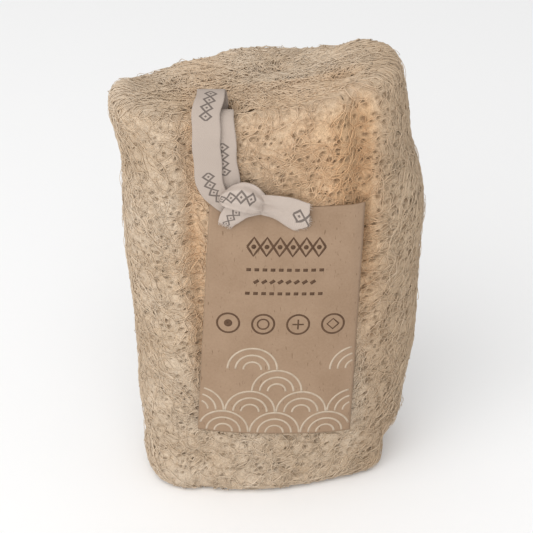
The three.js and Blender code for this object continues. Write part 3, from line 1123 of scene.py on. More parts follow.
def dress(piece: Piece, material: bpy.types.Material, slot: str, *nodes: str) -> None:
    """Gives a piece its material and its place on the body, and hides the CAD nodes that it replaces.

    Args:
        piece: The piece.
        material: Its material.
        slot: A material slot name; not used.
        *nodes: CAD nodes that the piece replaces.
    """
    piece.data.materials.append(material)
    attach(piece, "root")
    if nodes:
        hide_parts(*nodes)
    LOG.info("%s: %d faces", piece.name, len(piece.data.polygons))


@dataclass
class LoofahSponge:
    """The fibre body: a pitted mat, layers of fibres over it, cut ends and the chambers in them."""

    shape: BodyShape
    skin: Skin
    low: float = -3.2  # the height over the skin that is shaded darkest
    high: float = 0.7  # the height that is shaded palest
    foot_clearance: float = 0.48  # nothing reaches lower, so that no fibre dips below the ground
    tape_hole: Chamber = Chamber(-20.2, -17.3, 6.2, 5.3, 44, lean=0)
    hole_swell: float = 0.375  # how close together the fibres lie that the tape has pushed aside
    net_sag: float = 1.6  # how far a fibre hangs into a chamber
    mat_rows: int = 244
    mat_columns: int = 388
    disc_rings: int = 26
    disc_columns: int = 240

    WALL_LAYERS = (
        FibreLayer("fibres_under", 950, 28, 1.05, -0.65, -0.3, radius=0.27, heading=0.6, spread=1.0, seed=21),
        FibreLayer("fibres_over", 1060, 28, 1.0, -0.45, 0.0, radius=0.20, heading=0.1, spread=1.2, seed=22),
        FibreLayer("fibres_skin", 1110, 28, 0.9, -0.25, 0.25, radius=0.145, heading=0.0, spread=1.5, seed=23),
    )
    STRAY_LAYER = FibreLayer("fibres_stray", 700, 10, 0.95, 0.2, 0.5, 0.10, heading=0.2, push=0.4, seed=51)
    TOP_LAYERS = (
        FibreLayer("top_under", 330, 22, 1.0, -0.7, -0.3, radius=0.25, spread=1.4, push=0.8, seed=31),
        FibreLayer("top_over", 330, 22, 0.95, -0.4, 0.2, radius=0.16, spread=1.4, seed=32),
    )
    FOOT_LAYER = FibreLayer("foot", 150, 20, 1.1, 0.48, 0.95, radius=0.28, spread=1.4, push=0.9, seed=33)
    NET_SEED = 35
    RADIUS_SEED = 500  # added to a layer's own seed for its radii
    WALL_PORES = PoreField()
    CUT_END_PORES = PoreField(pitch_x=3.1, pitch_z=2.9, stretch=1.1, large=1.2, wrap=0, seed=12)

    LONGEST_STEP = 3.6  # a fibre with a longer step was pulled apart by a hole, and is left out
    LONGEST_NET_STEP = 3.0
    NET_DENSITY = 5.5  # fibres a millimetre of half a chamber's width
    NET_REACH = 1.25  # how far over a chamber's edge its net goes
    CUT_END_MARGIN = (11.0, 9.0)  # how far inside the wall the fibres of a cut end turn back
    BEHIND_CARD = (0.6, 0.9)  # the part of the girth where stray fibres stay low
    BEHIND_CARD_LIFT = 0.5

    # Heights, and one band along X, between which the shading sets in or fades out
    RIM = (158, 166)
    ORANGE_RISE = (96, 132)
    LOBE_RISE = (90, 115)
    LOBE_BAND = (38, 46)
    CREASE_END = (171, 13)  # no crease is tinted from here on, and full tint starts so far below
    # The painted shade on the right side ends at this height and is full so many millimetres below it.
    DARKER_END = (164, 20)

    # Stations along X by which the shade attribute departs from plain height and chance: painted light and
    # shade, and the right side's browner tone
    PANEL_ORANGE = ((-10, 0.35), (28, 0.72))
    # Painted shade on the right side, away from the light.
    RIGHT_PAINTED_SHADE = ((29, 0.0), (41, 0.2), (44, 0.2), (52, 0.12))
    # Painted light and shade on the top cut: paler to the left, darker to the right.
    TOP_PAINTED_LIGHT_AND_SHADE = ((-40, 0.07), (0, -0.05))
    # Browner to the right: partly the fibre's own browner tone, partly painted shade on the side away from
    # the light.
    RIGHT_BROWNER_AND_PAINTED_SHADE = ((30, 0.0), (46, 1.1))
    # Painted light on the left of the top cut.
    TOP_LEFT_PAINTED_LIGHT = ((-40, 0.3), (0, 0.0))
    # Painted shade in the middle of a crease.
    CREASE_PAINTED_SHADE = 0.22

    def build(self) -> None:
        """Makes and dresses every piece of the sponge."""
        fibre = FibreFinish("dry_luffa_fibre").make()
        mat = FibreFinish("matted_luffa_fibre", web=True).make()
        dress(self.mat(), mat, "loofah_fibre", "loofah_sponge")
        dress(self.cut_end_mats(), mat, "loofah_fibre")
        for layer in self.WALL_LAYERS:
            dress(self.wall_fibres(layer), fibre, "loofah_fibre")
        dress(self.cut_end_fibres(), fibre, "loofah_fibre")
        dress(self.stray_fibres(), fibre, "loofah_fibre")

    def shade(self, points: Array, lift: Array, chance: Array) -> Array:
        """Height, crease and chance for each point.

        Height is the lift between low and high, which the material turns into painted shade; it is lowered
        beyond the right-hand crease as painted shade on the side away from the light, but for the lobe high
        up there, lowered in the middle of a crease as painted crease shade, and raised to the left and
        lowered to the right on the top cut as painted light and shade. Crease is the crease mask, painted
        crease shade and bounce light, plus the panel's own orange, faded out at the rim; chance grows towards
        the right, which makes those fibres browner and darker, partly their own tone and partly painted
        shade, and falls at the top left as painted light.

        Args:
            points: (..., 3) drawing points.
            lift: Their height over the smooth skin.
            chance: A number from 0 to 1 for each.

        Returns:
            (..., 3) numbers.
        """
        x, y, z = points[..., 0], points[..., 1], points[..., 2]
        front = y < self.shape.lean * x
        on_top = smooth_step(z, *self.RIM)
        orange = between(self.PANEL_ORANGE, x) * self.shape.panel_share(x)
        orange = orange * smooth_step(z, *self.ORANGE_RISE) * front
        crease = np.clip(self.shape.crease_mask(x, z, front, 1.6) + orange, 0, 1)
        crease = crease * np.clip((self.CREASE_END[0] - z) / self.CREASE_END[1], 0, 1)
        below_lobe = 1 - 0.8 * smooth_step(z, *self.LOBE_RISE) * smooth_step(x, *self.LOBE_BAND)
        # Painted shade on the right side, away from the light, but not on the lobe high up.
        darker = between(self.RIGHT_PAINTED_SHADE, x) * below_lobe
        height = np.clip((lift - self.low) / (self.high - self.low), 0, 1)
        # Painted light and shade on the top cut.
        height = height + between(self.TOP_PAINTED_LIGHT_AND_SHADE, x) * on_top
        height = height - darker * np.clip((self.DARKER_END[0] - z) / self.DARKER_END[1], 0, 1)
        # Painted crease shade: the middle of a crease is drawn darker.
        height = height - self.CREASE_PAINTED_SHADE * smooth_step(crease, 0.7, 1.0)
        # Browner and darker to the right, partly own tone and partly painted shade; paler at the top left as
        # painted light.
        browned_and_painted_light = chance + between(self.RIGHT_BROWNER_AND_PAINTED_SHADE, x) - between(self.TOP_LEFT_PAINTED_LIGHT, x) * on_top
        return np.stack([height, crease, np.broadcast_to(browned_and_painted_light, height.shape)], axis=-1)

    def sink_chambers(self, points: Array, level: Array) -> Array:
        """How far the mat sinks into the seed chambers at each point, 0 away from the cut ends.

        Args:
            points: (..., 3) drawing points.
            level: Their levels on the skin.

        Returns:
            Millimetres, a smooth step from each chamber's edge to its middle.
        """
        x, y = points[..., 0], points[..., 1]
        depth = np.zeros_like(x)
        for chambers, at_end in (
            (self.shape.top_chambers, level > Skin.TALL),
            (self.shape.foot_chambers, level < 0),
        ):
            for chamber in chambers:
                inside = smooth_step(0.97 - chamber.level(x, y), 0, 0.5)
                depth = np.maximum(depth, np.where(at_end, inside, 0) * 0.16 * chamber.reach)
        through = smooth_step(1.1 - self.tape_hole.level(x, y), 0, 0.2)
        return np.maximum(depth, np.where(level > Skin.TALL, through, 0) * 0.5 * self.tape_hole.reach)

    @staticmethod
    def calm(level: Array) -> Array:
        """How strongly pores show at a level: 1 on the wall, less on the rims, where they look like teeth."""
        return 1 - 0.75 * bell(np.abs(level - Skin.TALL / 2) - Skin.TALL / 2 - 2, 5)

    def mat(self) -> Piece:
        """The pitted mat: the skin sunk a little, with a pit at each pore and at each chamber.

        Returns:
            The piece.
        """
        girth = np.arange(self.mat_columns)[None, :] * Skin.GIRTH / self.mat_columns
        level = np.linspace(0.5 - Skin.CAP, Skin.TALL + Skin.CAP - 1.2, self.mat_rows)[:, None]
        girth, level = (a.copy() for a in np.broadcast_arrays(girth, level))
        moved_girth, moved_level, sunk = self.WALL_PORES.pits(girth, level)
        moved_level[[0, -1]] = level[[0, -1]]
        points, normals = self.skin.read(moved_girth, moved_level)
        lift = -0.5 - 1.5 * sunk * self.calm(level)
        points = points + normals * lift[..., None]
        depth = self.sink_chambers(points, moved_level)
        points[..., 2] += np.where(moved_level < 0, 1.0, -1.0) * depth
        points[..., 2] = np.maximum(points[..., 2], self.foot_clearance)
        flat = points.reshape(-1, 3)
        mat = MeshMaker.make("loofah_mat", flat, MeshMaker.grid_quads(self.mat_rows, self.mat_columns, True))
        # Painted shade: pits, and still more the chambers, are drawn darker the deeper they lie.
        dark = (lift - 0.6 * depth).reshape(-1)
        MeshMaker.paint(mat, "shade", self.shade(flat, dark, np.full(len(flat), 0.5)))
        return mat

    def cut_end_disc(self, at_top: bool) -> tuple[Array, Array, Array, Array]:
        """The middle of one cut end: rings that shrink from the mat's edge, sunk at the chambers.

        Args:
            at_top: True for the top cut, False for the foot.

        Returns:
            (points, quads, fan, lift): its points, its faces, the triangles round its middle and how high
            each point is shaded.
        """
        columns, rings = self.disc_columns, self.disc_rings
        level = np.full(columns, Skin.TALL + Skin.CAP - 2.0 if at_top else 1.4 - Skin.CAP)
        rim, _ = self.skin.read(np.arange(columns) * Skin.GIRTH / columns, level)
        middle = rim.mean(axis=0)
        share = np.linspace(1, 0.02, rings)[:, None, None]
        disc = middle + (rim[None] - middle) * share
        edge = np.where(share[..., 0] > 0.97, 0.5, 0.0)
        far_over = np.array(Skin.TALL + Skin.CAP if at_top else -Skin.CAP)
        depth = self.sink_chambers(disc, far_over) + 0.8 + edge
        surface = self.shape.top_height(disc[..., 0], disc[..., 1])
        disc[..., 2] = surface - depth if at_top else np.maximum(depth - 0.4, self.foot_clearance)
        points = np.concatenate([disc.reshape(-1, 3), disc[-1].mean(axis=0, keepdims=True)])
        quads = MeshMaker.grid_quads(rings, columns, True)
        last = (rings - 1) * columns + np.arange(columns)
        fan = np.stack([last, np.roll(last, -1), np.full(columns, rings * columns)], axis=-1)
        # Painted shade: the deeper a point of the disc lies, the darker it is drawn, and its middle point is
        # drawn dark.
        lift = np.append(-depth.reshape(-1), -2.0)
        if at_top:
            return points, quads, fan, lift
        return points, quads[:, ::-1], fan[:, ::-1], lift

    def cut_end_mats(self) -> Piece:
        """The middles of both cut ends as one piece.

        Returns:
            The piece.
        """
        top, foot = self.cut_end_disc(True), self.cut_end_disc(False)
        used = len(top[0])
        points, lift = np.concatenate([top[0], foot[0]]), np.concatenate([top[3], foot[3]])
        quads, fans = np.concatenate([top[1], foot[1] + used]), np.concatenate([top[2], foot[2] + used])
        piece = MeshMaker.make("loofah_cut_mats", points, quads, fans)
        MeshMaker.paint(piece, "shade", self.shade(points, lift, np.full(len(points), 0.5)))
        return piece

    def clear_tape(self, points: Array) -> Array:
        """Moves points on the top cut out of the hole that the tape goes through, and sags them elsewhere.

        Args:
            points: (n, k, 3) drawing points.

        Returns:
            The moved points; a fibre across a chamber hangs into it.
        """
        x, y, z = points[..., 0], points[..., 1], points[..., 2]
        on_top = smooth_step(z, 158, 162)
        near = np.maximum(self.tape_hole.level(x, y), 1e-3)
        grow = 1 + on_top * np.where(near < 1.6, (1 + self.hole_swell * near) / near - 1, 0.0)
        x = self.tape_hole.x + (x - self.tape_hole.x) * grow
        y = self.tape_hole.y + (y - self.tape_hole.y) * grow
        for chamber in self.shape.top_chambers:
            z = z - self.net_sag * on_top * smooth_step(1 - chamber.level(x, y), 0, 0.8)
        return np.stack([x, y, z], axis=-1)

    def add_fibres(
        self, strands: Strands, layer: FibreLayer, path: Array, lift: Array, chance: Array
    ) -> None:
        """Lays fibres along flat paths on the skin.

        Args:
            strands: Where they are gathered.
            layer: The layer's numbers.
            path: (n, k, 2) places: millimetres round and up.
            lift: (n, k) heights over the skin.
            chance: (n, 1) numbers from 0 to 1.
        """
        rng = np.random.default_rng(layer.seed + self.RADIUS_SEED)
        strength = layer.push * self.calm(path[..., 1])
        girth, level = self.WALL_PORES.push(path[..., 0], path[..., 1], strength)
        end = Skin.CAP - 2
        level = Skin.TALL + end - np.abs(Skin.TALL + end - (np.abs(level + end) - end))
        points, normals = self.skin.read(girth, level)
        points = points + normals * lift[..., None]
        smooth_z = points[..., 2].copy()
        points = self.clear_tape(points)
        sag = smooth_z - points[..., 2]
        points[..., 2] = np.maximum(points[..., 2], self.foot_clearance)
        whole = unbroken(points, self.LONGEST_STEP)
        # Painted shade: a fibre that sags into a chamber is drawn darker.
        shade = self.shade(points, lift - 0.5 * sag, chance)
        radius = layer.radii(rng, len(path))
        strands.add(points[whole], normals[whole], radius[whole], shade[whole])

    def scattered(self, rng: np.random.Generator, count: int) -> Array:
        """(count, 2) even chance places over the whole skin."""
        low, high = 2 - Skin.CAP, Skin.TALL + Skin.CAP - 2
        return np.stack([rng.uniform(0, Skin.GIRTH, count), rng.uniform(low, high, count)], axis=-1)

    def wall_fibres(self, layer: FibreLayer) -> Piece:
        """Fibres that wander over the wall and both rims and run round the pores.

        Args:
            layer: The layer's numbers.

        Returns:
            The piece.
        """
        rng = np.random.default_rng(layer.seed)
        path = layer.wander(rng, self.scattered(rng, layer.count))
        strands = Strands()
        self.add_fibres(strands, layer, path, layer.heights(rng, layer.count), rng.random((layer.count, 1)))
        return strands.make(layer.name)

    def stray_fibres(self) -> Piece:
        """Fine loose fibres that arch a little way off the wall, less so behind the card.

        Returns:
            The piece.
        """
        layer = self.STRAY_LAYER
        rng = np.random.default_rng(layer.seed)
        path = layer.wander(rng, self.scattered(rng, layer.count))
        arch = np.sin(np.linspace(0, math.pi, layer.steps))[None, :] ** 1.3
        lift = 0.1 + arch * rng.uniform(0.15, 0.8, (layer.count, 1))
        around = path[..., 0] / Skin.GIRTH % 1.0
        left, right = self.BEHIND_CARD
        on_panel = ((around > left) & (around < right) & (path[..., 1] < Skin.TALL + 10)).any(axis=1)
        lift = np.where(on_panel[:, None], np.minimum(lift, self.BEHIND_CARD_LIFT), lift)
        strands = Strands()
        self.add_fibres(strands, layer, path, lift, rng.random((layer.count, 1)))
        return strands.make(layer.name)

    def cut_end_fibres(self) -> Piece:
        """Fibres over the middle of both cut ends.

        Returns:
            The piece.
        """
        strands = Strands()
        for layer in self.TOP_LAYERS:
            self.add_cut_end(strands, layer, True)
        self.add_cut_end(strands, self.FOOT_LAYER, False)
        for number, chamber in enumerate(self.shape.top_chambers):
            self.add_chamber_net(strands, chamber, self.NET_SEED + number)
        return strands.make("fibres_cut_ends")

    def add_chamber_net(self, strands: Strands, chamber: Chamber, seed: int) -> None:
        """Spans a chamber's mouth with a loose, sagging net of fibres that keeps clear of the tape.

        Args:
            strands: Where the fibres are gathered.
            chamber: The chamber to span.
            seed: The net's chance.
        """
        count = int(chamber.half_x * self.NET_DENSITY)
        layer = FibreLayer("net", count, 15, 0.9, -3.0, -0.6, radius=0.2, spread=1.4, push=0.0, seed=seed)
        rng = np.random.default_rng(seed)
        angle, reach = rng.uniform(0, TURN, count), np.sqrt(rng.uniform(0, 1, count))
        across = chamber.half_x * reach * np.cos(angle)
        start = np.stack([across, chamber.half_y * reach * np.sin(angle) + chamber.lean * across], axis=-1)
        path = layer.wander(rng, start - (5.0, 0.0)) + (chamber.x, chamber.y)
        x, y = path[..., 0], path[..., 1]
        inside = np.clip(self.NET_REACH / np.maximum(chamber.level(x, y), 1e-3), 0, 1)
        x, y = chamber.x + (x - chamber.x) * inside, chamber.y + (y - chamber.y) * inside
        lift = layer.heights(rng, count)
        flat = np.stack([x, y, self.shape.top_height(x, y) + lift], axis=-1)
        points = self.clear_tape(flat)
        normals = np.zeros_like(points)
        normals[..., 2] = 1.0
        whole = unbroken(points[..., :2], self.LONGEST_NET_STEP)
        # Painted shade: the net over a chamber is drawn darker than its lift alone would make it.
        shade = self.shade(points, lift - 0.3, rng.random((count, 1)))
        strands.add(points[whole], normals[whole], layer.radii(rng, count)[whole], shade[whole])

    def add_cut_end(self, strands: Strands, layer: FibreLayer, at_top: bool) -> None:
        """Lays one layer over the middle of a cut end, turned back before the rim.

        Args:
            strands: Where the fibres are gathered.
            layer: The layer's numbers.
            at_top: True for the top cut, False for the foot.
        """
        rng = np.random.default_rng(layer.seed)
        shape = self.shape
        z = np.array(shape.height if at_top else 0.0)
        half_x = float(between(shape.half_width, z)) - self.CUT_END_MARGIN[0]
        half_y = float(between(shape.half_depth, z)) - self.CUT_END_MARGIN[1]
        start = rng.uniform(-1, 1, (layer.count, 2)) * (half_x, half_y)
        path = layer.wander(rng, start)
        x, y = self.CUT_END_PORES.push(path[..., 0], path[..., 1], layer.push)
        squared = np.abs(x / half_x) ** shape.squareness + np.abs(y / half_y) ** shape.squareness
        level = np.maximum(squared ** (1 / shape.squareness), 1e-6)
        back = np.where(level > 1, (2 - level) / level, 1.0)
        x, y = x * back, y * back
        x, y = x + float(between(shape.middle_x, z)), y + shape.lean * x + shape.middle_y
        lift = layer.heights(rng, layer.count)
        flat = np.stack([x, y, shape.top_height(x, y) + lift if at_top else lift], axis=-1)
        points = self.clear_tape(flat)
        sag = flat[..., 2] - points[..., 2]
        whole = unbroken(points[..., :2], self.LONGEST_STEP)
        normals = np.zeros_like(points)
        normals[..., 2] = 1.0 if at_top else -1.0
        # Painted shade: on the top, fibres that sag into a chamber are drawn darker; on the foot, every fibre
        # is drawn darker.
        shade = self.shade(points, lift - 0.5 * sag if at_top else -lift, rng.random((layer.count, 1)))
        strands.add(points[whole], normals[whole], layer.radii(rng, layer.count)[whole], shade[whole])


@dataclass(frozen=True)
class Stop:
    """One stop of a ribbon: its place, width, the way its width lies, its bulge and its gathers."""

    place: Place
    width: float = 10.0
    across: Place = (1.0, 0.0, 0.0)
    curl: float = 0.0
    gather: float = 0.0


@dataclass
class HangingTape:
    """The cotton tape: its loop round the fibre bridge, the knot and the two ends."""

    shape: BodyShape
    thickness: float = 0.7
    columns: int = 19
    bridge: Place = (-20.0, -17.0, 138.0)
    bridge_round: float = 3.45  # the tape's distance from the bridge's middle
    hole: tuple[float, float] = CARD_HOLE
    tip_reach: float = 4.2  # how far the cut end's point stands out
    tip_length: float = 7.0  # how far back the pull on it reaches
    fray_seed: int = 65
    flat: tuple[float, float] = (0.010, 0.255)  # metres, as cut

    def front(self, x: float, z: float, lift: float) -> Place:
        """A place over the front panel."""
        place = self.shape.on_front(np.array(x), np.array(z), np.array(lift))
        return (float(place[0]), float(place[1]), float(place[2]))

    def chamber(self, y: float, z: float, shift: float = 0.0) -> Place:
        """A place in the tape's chamber, measured from the bridge."""
        return (self.bridge[0] + shift, self.bridge[1] + y, z)

    def run_stops(self) -> list[Stop]:
        """The long run: up the front, back over the rim, round the bridge, out again and behind the card.

        Returns:
            The stops in order.
        """
        f, c, r = self.front, self.chamber, self.bridge_round
        z = self.bridge[2]
        hole_x, hole_z = self.hole
        slanted = (0.85, 0.0, 0.5)
        return [
            Stop(f(-14.8, 129.6, 2.8), 5.6, slanted, 0, 0.1),
            Stop(f(-17.6, 132.4, 3.1), 7.4, slanted, 0, 0.2),
            Stop(f(-20.2, 135.6, 3.4), 8.8, (0.95, 0, 0.25), 0, 0.15),
            Stop(f(-21.5, 139.8, 3.4), 9.8),
            Stop(f(-22.0, 145.0, 3.2)),
            Stop(f(-22.3, 152.0, 3.2)),
            Stop(f(-22.5, 158.5, 2.9)),
            Stop(f(-22.4, 164.4, -0.2)),
            Stop(c(-4.3, 168.0, -1.2)),
            Stop(c(2.2, 167.4, -0.6)),
            Stop(c(r + 0.3, 159.0)),
            Stop(c(r, 148.0)),
            Stop(c(r, z)),
            Stop(c(0.0, z - r)),
            Stop(c(-r, z)),
            Stop(c(-r, 148.0)),
            Stop(c(-r - 0.2, 158.0, 0.8)),
            Stop(c(-5.4, 163.2, 1.9)),
            Stop(f(-17.9, 162.4, -1.4)),
            Stop(f(-17.1, 157.6, 1.4)),
            Stop(f(-16.9, 151.0, 1.8)),
            Stop(f(-16.2, 143.0, 1.8)),
            Stop(f(-14.6, 137.3, 1.6), 8.6, (0.97, 0, 0.2), 0, 0.1),
            Stop(f(-13.0, 132.6, 0.8), 6.6, (0.97, 0, 0.2), 0, 0.15),
            Stop(f(hole_x, hole_z + 4.2, -0.25), 4.2),
            Stop(f(hole_x, hole_z + 1.3, 0.0), 3.5),
            Stop(f(hole_x, hole_z, 1.7), 3.5),
            Stop(f(hole_x, hole_z + 1.2, 3.0), 4.2),
            Stop(f(-11.8, 129.4, 3.8), 5.2),
        ]

    def band_stops(self) -> list[Stop]:
        """The two ends: up from the short one, along under the knot's ball and out to the long one.

        Returns:
            The stops in order.
        """
        f = self.front
        upright = (0.2, 0.0, 1.0)
        return [
            Stop(f(-15.9, 122.9, 3.2), 5.6, (-1.0, 0.0, 0.05), 0.1),
            Stop(f(-14.6, 125.6, 3.7), 7.4, (-0.95, 0.0, 0.3), 0.4, 0.1),
            Stop(f(-12.8, 128.2, 4.2), 8.4, (-0.75, 0.0, 0.65), 0.5, 0.15),
            Stop(f(-10.7, 129.8, 4.5), 8.4, (-0.4, 0.0, 0.9), 0.6, 0.2),
            Stop(f(-8.2, 130.5, 4.6), 8.0, upright, 0.5, 0.3),
            Stop(f(-5.2, 131.0, 4.6), 7.8, upright, 0.5, 0.45),
            Stop(f(-2.7, 131.2, 4.5), 7.9, upright, 0.8, 0.6),
            Stop(f(1.0, 130.2, 4.0), 8.9, upright, 0.7, 0.42),
            Stop(f(4.9, 128.6, 3.6), 10.3, upright, 0.5, 0.2),
            Stop(f(8.4, 126.9, 3.3), 11.4, (0.35, 0.0, 1.0), 0.2),
            Stop(f(11.4, 125.3, 3.2), 12.4, (0.42, 0.0, 1.0), 0.0),
        ]

    def ball_stops(self) -> list[Stop]:
        """The puffed turn that makes the knot's ball, from its lower left to the neck.

        Returns:
            The stops in order.
        """
        f = self.front
        leaning = (0.25, 0.5, 1.0)
        return [
            Stop(f(-17.6, 132.6, 4.4), 2.8, leaning, 0.5, 0.1),
            Stop(f(-16.2, 133.8, 5.2), 5.6, leaning, 1.2, 0.3),
            Stop(f(-13.4, 134.8, 5.9), 8.6, leaning, 1.9, 0.6),
            Stop(f(-10.2, 135.0, 6.2), 10.6, leaning, 2.1, 0.55),
            Stop(f(-7.4, 134.3, 6.1), 10.6, leaning, 1.9, 0.65),
            Stop(f(-4.8, 133.1, 5.7), 9.0, leaning, 1.5, 0.75),
            Stop(f(-2.8, 132.1, 4.6), 6.8, leaning, 0.8, 0.45),
        ]

    @staticmethod
    def smooth_line(places: Array, at: Array) -> Array:
        """A Catmull-Rom line through the places, read at those places' numbers and between them.

        Args:
            places: (n, 3) places in order.
            at: (k,) numbers from 0 to n - 1.

        Returns:
            (k, 3) points.
        """
        first = np.minimum(at.astype(int), len(places) - 2)
        share = (at - first)[:, None]
        padded = np.concatenate([[2 * places[0] - places[1]], places, [2 * places[-1] - places[-2]]])
        a, b, c, d = (padded[first + k] for k in range(4))
        square, cube = 2 * a - 5 * b + 4 * c - d, 3 * b - a - 3 * c + d
        return 0.5 * (2 * b + (c - a) * share + square * share**2 + cube * share**3)

    def ribbon(
        self,
        stops: list[Stop],
        rows: int,
        seed: int,
        printed_from: float,
        dull: float = 0.0,
        tip: bool = False,
    ) -> tuple[Array, Array, Array]:
        """Sweeps a curled strip with two faces along the stops.

        A ring of points goes across the front face and back across the rear one, each face half a thickness
        out, bulged by the curl, the gathers and a soft ripple. A tip pulls the last rings out to a point
        below the middle of the cut.

        Args:
            stops: The stops in order.
            rows: Rings along the ribbon.
            seed: Chooses the ripple.
            printed_from: Where along the print's pattern the ribbon starts.
            dull: How much darker and greyer the cotton is drawn, 0 to 1.
            tip: Whether the last end is cut to a point.

        Returns:
            (rings, weave, quads): (rows, ring, 3) points, their weave numbers and the faces.
        """
        at = np.linspace(0, len(stops) - 1, rows)
        middle = self.smooth_line(np.array([s.place for s in stops]), at)
        tangent = unit(np.gradient(middle, axis=0))
        sides = unit(np.array([s.across for s in stops]))
        side = np.stack([np.interp(at, np.arange(len(stops)), column) for column in sides.T], axis=-1)
        normal = unit(np.cross(tangent, side))
        side = np.cross(normal, tangent)
        numbers = np.array([[s.width, s.curl, s.gather] for s in stops])
        width, curl, gather = (np.interp(at, np.arange(len(stops)), column)[:, None] for column in numbers.T)
        run = np.concatenate([[0], np.cumsum(np.linalg.norm(np.diff(middle, axis=0), axis=1))])[:, None]
        v = np.linspace(-1, 1, self.columns)
        phase = np.random.default_rng(seed).uniform(0, TURN, 4)
        ripple = 0.2 * np.sin(run * 0.55 + phase[0] + 1.6 * v) * np.sin(run * 0.21 + phase[1])
        folds = gather * np.cos(7.5 * v + 0.25 * run + phase[2])
        bulge = curl * (1 - v**2) + ripple * np.abs(v) ** 1.5 + folds
        edge = self.thickness / 2 * (0.72 + 0.28 * np.sqrt(np.clip(1 - v**4, 0, 1)))
        lift = np.concatenate([bulge + edge, (bulge - edge)[:, ::-1]], axis=1)
        wide = np.concatenate([v, v[::-1]])
        sway = 0.18 * np.sin(run * 0.5 + phase[3])
        sideways = side[:, None, :] * (width / 2 * wide + sway)[..., None]
        rings = middle[:, None, :] + sideways + normal[:, None, :] * lift[..., None]
        if tip:
            ramp = smooth_step(run, run[-1, 0] - self.tip_length, run[-1, 0])
            point = np.minimum((1 - wide) / 1.35, (1 + wide) / 0.65)
            rings = rings + tangent[:, None, :] * (self.tip_reach * ramp * point)[..., None]
        pattern = (run + printed_from) * METRES
        weave = np.stack(np.broadcast_arrays(pattern, wide[None, :], np.array(dull)), axis=-1)
        return rings, weave, self.ribbon_faces(rows)

    def ribbon_faces(self, rows: int) -> Array:
        """The faces round a ribbon of that many rings and over both its ends.

        Args:
            rows: How many rings.

        Returns:
            (n, 4) corner numbers.
        """
        ring = 2 * self.columns
        around = np.roll(MeshMaker.grid_quads(rows, ring, True)[:, ::-1], 1, axis=1)
        k = np.arange(self.columns - 1)
        start_cap = np.stack([k, k + 1, ring - 2 - k, ring - 1 - k], axis=-1)
        end_cap = (rows - 1) * ring + np.stack([k, ring - 1 - k, ring - 2 - k, k + 1], axis=-1)
        return np.concatenate([around, start_cap, end_cap])

    def build(self) -> None:
        run = self.ribbon(self.run_stops(), rows=250, seed=61, printed_from=0.0, dull=1.0)
        band = self.ribbon(self.band_stops(), rows=110, seed=62, printed_from=7.3, tip=True)
        ball = self.ribbon(self.ball_stops(), rows=60, seed=63, printed_from=3.0)
        points, quads = join_parts([(rings.reshape(-1, 3), faces) for rings, _, faces in (run, band, ball)])
        tape = MeshMaker.make("cotton_tape", points, quads)
        weave = np.concatenate([numbers.reshape(-1, 3) for _, numbers, _ in (run, band, ball)])
        MeshMaker.paint(tape, "weave", weave)
        cloth = TapeFinish().make()
        dress(tape, cloth, "cotton_tape", "hanging_tape")
        threads = self.frayed_threads(band[0])
        dress(threads, cloth, "cotton_tape")

    def frayed_threads(self, rings: Array) -> Piece:
        """Short loose threads at both cut ends of the band.

        Args:
            rings: The band's rings of points.

        Returns:
            The threads as one object.
        """
        rng = np.random.default_rng(self.fray_seed)
        strands = Strands()
        for ring, inner in ((rings[-1], rings[-4]), (rings[0], rings[3])):
            count, steps = 26, 6
            v = rng.uniform(0.02, 0.98, count) * (self.columns - 1)
            low = v.astype(int)
            share = (v - low)[:, None]
            root = ring[low] * (1 - share) + ring[low + 1] * share
            away = unit((ring - inner).mean(axis=0))
            side = unit(ring[self.columns - 1] - ring[0])
            k = np.linspace(0, 1, steps)[None, :, None]
            length = rng.uniform(0.3, 1.4, (count, 1, 1))
            drift = rng.uniform(-0.5, 0.5, (count, 1, 1))
            path = root[:, None, :] + away * length * k + side * drift * length * k**2
            droop = 0.3 * length * k**2 * rng.uniform(-1, 0.6, (count, 1, 1))
            path = path + np.array([0.0, 1.0, -0.6]) * droop
            normal = np.broadcast_to(np.cross(away, side), path.shape)
            radius = np.broadcast_to(0.13 * (1.1 - 0.6 * k[..., 0]), path.shape[:2])
            strands.add(path, normal, radius, np.zeros(path.shape))
        return strands.make("tape_frayed_threads")


class Mark(Enum):
    """The plain figures printed in the row of rings."""

    DOT = "dot"
    RING = "ring"
    CROSS = "cross"
    LOZENGE = "lozenge"


